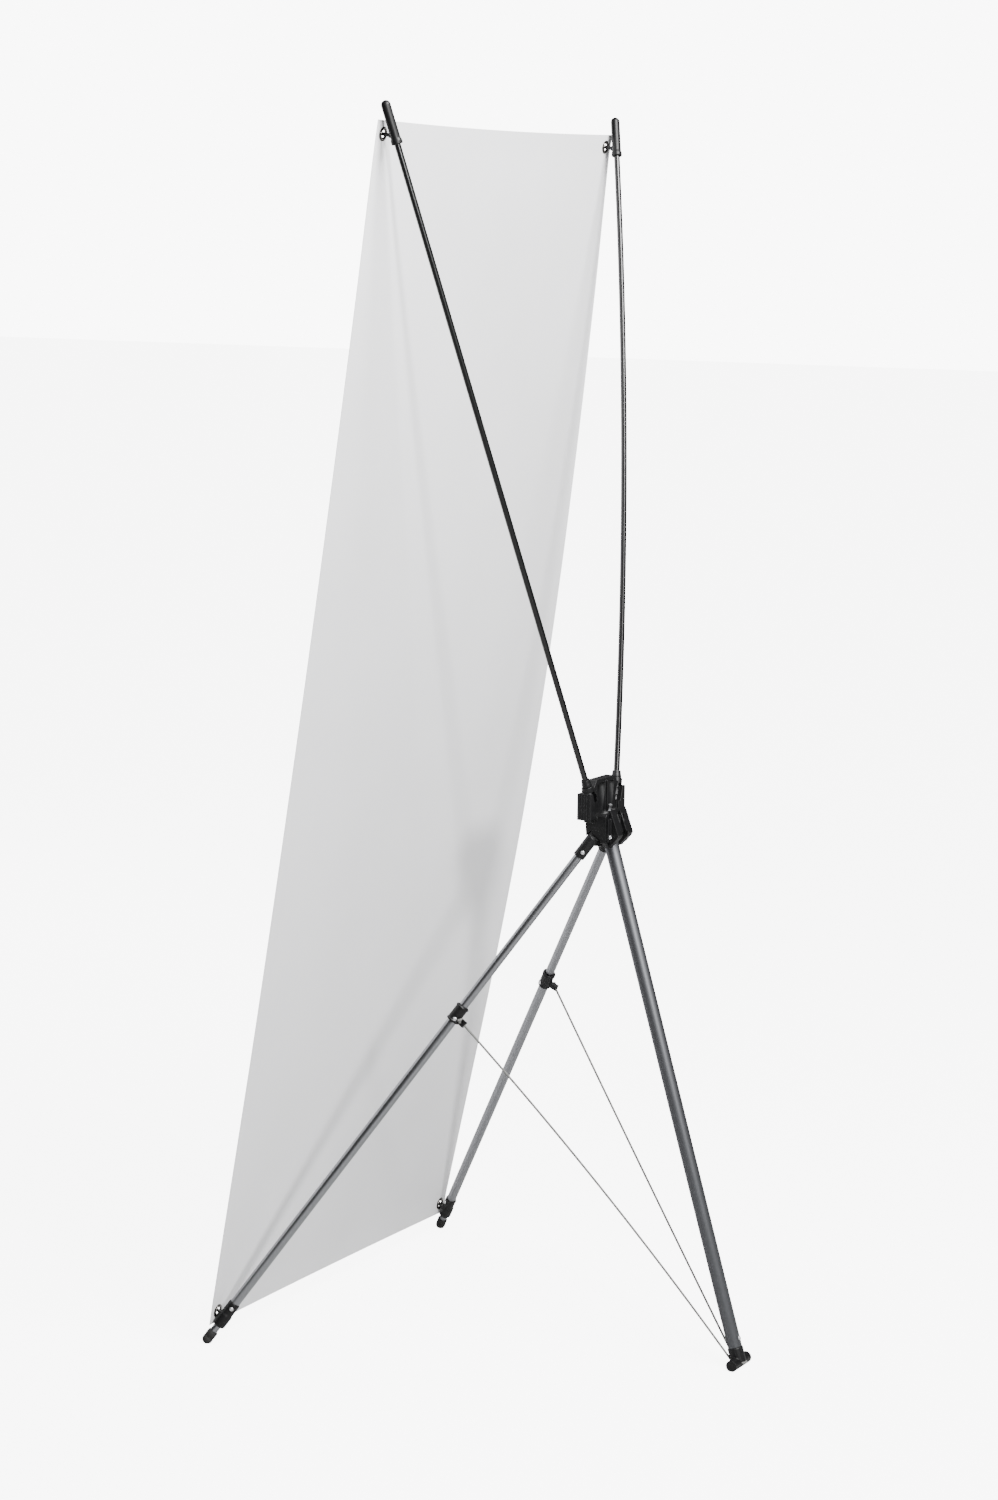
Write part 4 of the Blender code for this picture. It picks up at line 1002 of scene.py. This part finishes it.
def makeScrews():
    # pan heads with a round socket, measured from 5 mm under the top
    profile = [(0, -0.0060), (0.0011, -0.0055), (0.0013, 0.0031), (0.0028, 0.0031), (0.0028, 0.0040),
               (0.0023, 0.0048), (0.0012, 0.0050), (0.0012, 0.0043), (0, 0.0043)]
    marks = []
    for side in ("right", "left"):
        low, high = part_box("cover_screw_" + side)
        marks.append(Vector(((low.x + high.x) / 2, high.y - 0.0050, (low.z + high.z) / 2)))
    bm = turnProfile(profile, Matrix(), 24)
    ways = [Vector((0, 1, 0))] * 2
    repeated("coverScrews", bm, marks, ways, "hub", ["cover_screw_right", "cover_screw_left"])


makeScrews()
print("hub made")

# ---- legs

legSet = {"steps": 48, "edge": 0.0003, "frontWall": 0.001, "rearWall": 0.0012, "voxel": 0.0004}
footSet = {"radius": 0.007, "bore": 0.0048, "top": 0.014, "inside": -0.0003, "dome": 12}
collarSet = {"ringShift": 0.0105, "ringBore": 0.0072, "ringRadius": 0.0092, "ringHalf": 0.0011}
rivetSet = {"headFrom": 0.0009, "shank": 0.0014, "head": 0.0027}


def makeTube(name, node, wall, body, way=None, material=aluminium):
    # a tube in place of a CAD one, or a solid bar where no wall is given
    low, high, radius = axisOf(node, way)
    length = (high - low).length
    inner = radius - wall if wall else 0
    profile = [(inner, 0), (radius, 0), (radius, length), (inner, length)]
    bm = turnProfile(roundedProfile(profile, legSet["edge"], 2), framePoint(low, high - low), legSet["steps"])
    newPiece(name, bm, material, body, [node])


def rivetMarks(nodes):
    # two heads for each rivet, each a little in from the end of its own axis
    marks, ways = [], []
    for node in nodes:
        points = nodePoints(node)
        centre = (points.min(0) + points.max(0)) / 2
        way = np.linalg.svd(points - points.mean(0), full_matrices=False)[2][0]
        span = ((points - centre) @ way).max()
        for sign in (1, -1):
            marks.append(Vector(centre + way * sign * (span - rivetSet["headFrom"])))
            ways.append(Vector(way * sign))
    return marks, ways


def makeRivets(name, nodes, body):
    # domed head with the dimple of the setting tool
    shank, head = rivetSet["shank"], rivetSet["head"]
    profile = [(0, -0.0035), (shank, -0.0035), (shank, 0), (head, 0), (head - 0.00005, 0.0004),
               (head - 0.0006, 0.0010), (0.0013, 0.0013), (0.0007, 0.0012), (0, 0.0010)]
    marks, ways = rivetMarks(nodes)
    repeated(name, turnProfile(profile, Matrix(), 28), marks, ways, body, nodes)


def makeRubberFoot(side):
    # a round-nosed sleeve with a groove round it, cut flat where it meets the floor
    low, high, _ = axisOf("foot_stub_" + side, legWay(side))
    wide, bore, top, inside, dome = (footSet[k] for k in ("radius", "bore", "top", "inside", "dome"))
    profile = [(0, -wide)]
    for i in range(1, dome + 1):
        angle = pi / 2 * i / dome
        profile.append((wide * sin(angle), -wide * cos(angle)))
    profile += [(wide, 0.0030), (wide - 0.0005, 0.0036), (wide - 0.0005, 0.0044), (wide, 0.0050),
                (wide, top - 0.0018), (wide - 0.0009, top), (bore, top), (bore, inside), (0, inside)]
    bm = turnProfile(profile, framePoint(low, high - low), legSet["steps"])
    node = "rubber_foot_" + side
    piece = newPiece("rubberFoot" + side.title(), bm, rubber, "leg_" + side, [node])
    belowFloor = blockMesh((-0.03, -0.03, -0.05), (0.03, 0.03, 0.0))
    shapeWith(piece, belowFloor, "DIFFERENCE", Matrix.Translation((low.x, low.y, 0)))
    smoothFaces(piece.data)
    coat(piece.data, rubber)


def shapeCollar(side):
    def work(piece):
        # a ring round each end
        c = collarSet
        _, high, _ = axisOf("lower_tube_" + side)
        way = legWay(side)
        bore, wide, half = c["ringBore"], c["ringRadius"], c["ringHalf"]
        profile = [(bore, -half), (wide, -half), (wide, half), (bore, half)]
        for sign in (-1, 1):
            ring = turnProfile(profile, framePoint(high + way * sign * c["ringShift"], way), legSet["steps"])
            shapeWith(piece, ring, "UNION")
    return work


for side in ("right", "left"):
    body, word, wall, voxel = "leg_" + side, side.title(), legSet["frontWall"], legSet["voxel"]
    makeTube("upperTube" + word, "upper_tube_" + side, wall, body, legWay(side))
    makeTube("lowerTube" + word, "lower_tube_" + side, wall, body, legWay(side))
    makeTube("footStub" + word, "foot_stub_" + side, None, body, legWay(side))
    makeRubberFoot(side)
    moulded("legKnuckle" + word, "leg_knuckle_" + side, body, voxel, 3)
    moulded("collar" + word, "collar_" + side, body, voxel, 3, shapeCollar(side))
    moulded("hookClamp" + word, "hook_clamp_" + side, body, voxel, 3)
    rivets = [name + side for name in ("knuckle_rivet_", "collar_rivet_", "clamp_rivet_")]
    makeRivets("legRivets" + word, rivets, body)

makeTube("rearLegTube", "rear_leg_tube", legSet["rearWall"], "leg_rear", material=aluminiumRear)
moulded("legKnuckleRear", "leg_knuckle_rear", "leg_rear", legSet["voxel"], 3)
moulded("rearFoot", "rear_foot", "leg_rear", legSet["voxel"], 4)
makeRivets("rearRivets", ["knuckle_rivet_rear", "rear_foot_rivet"], "leg_rear")
print("legs made")

bpy.context.view_layer.update()
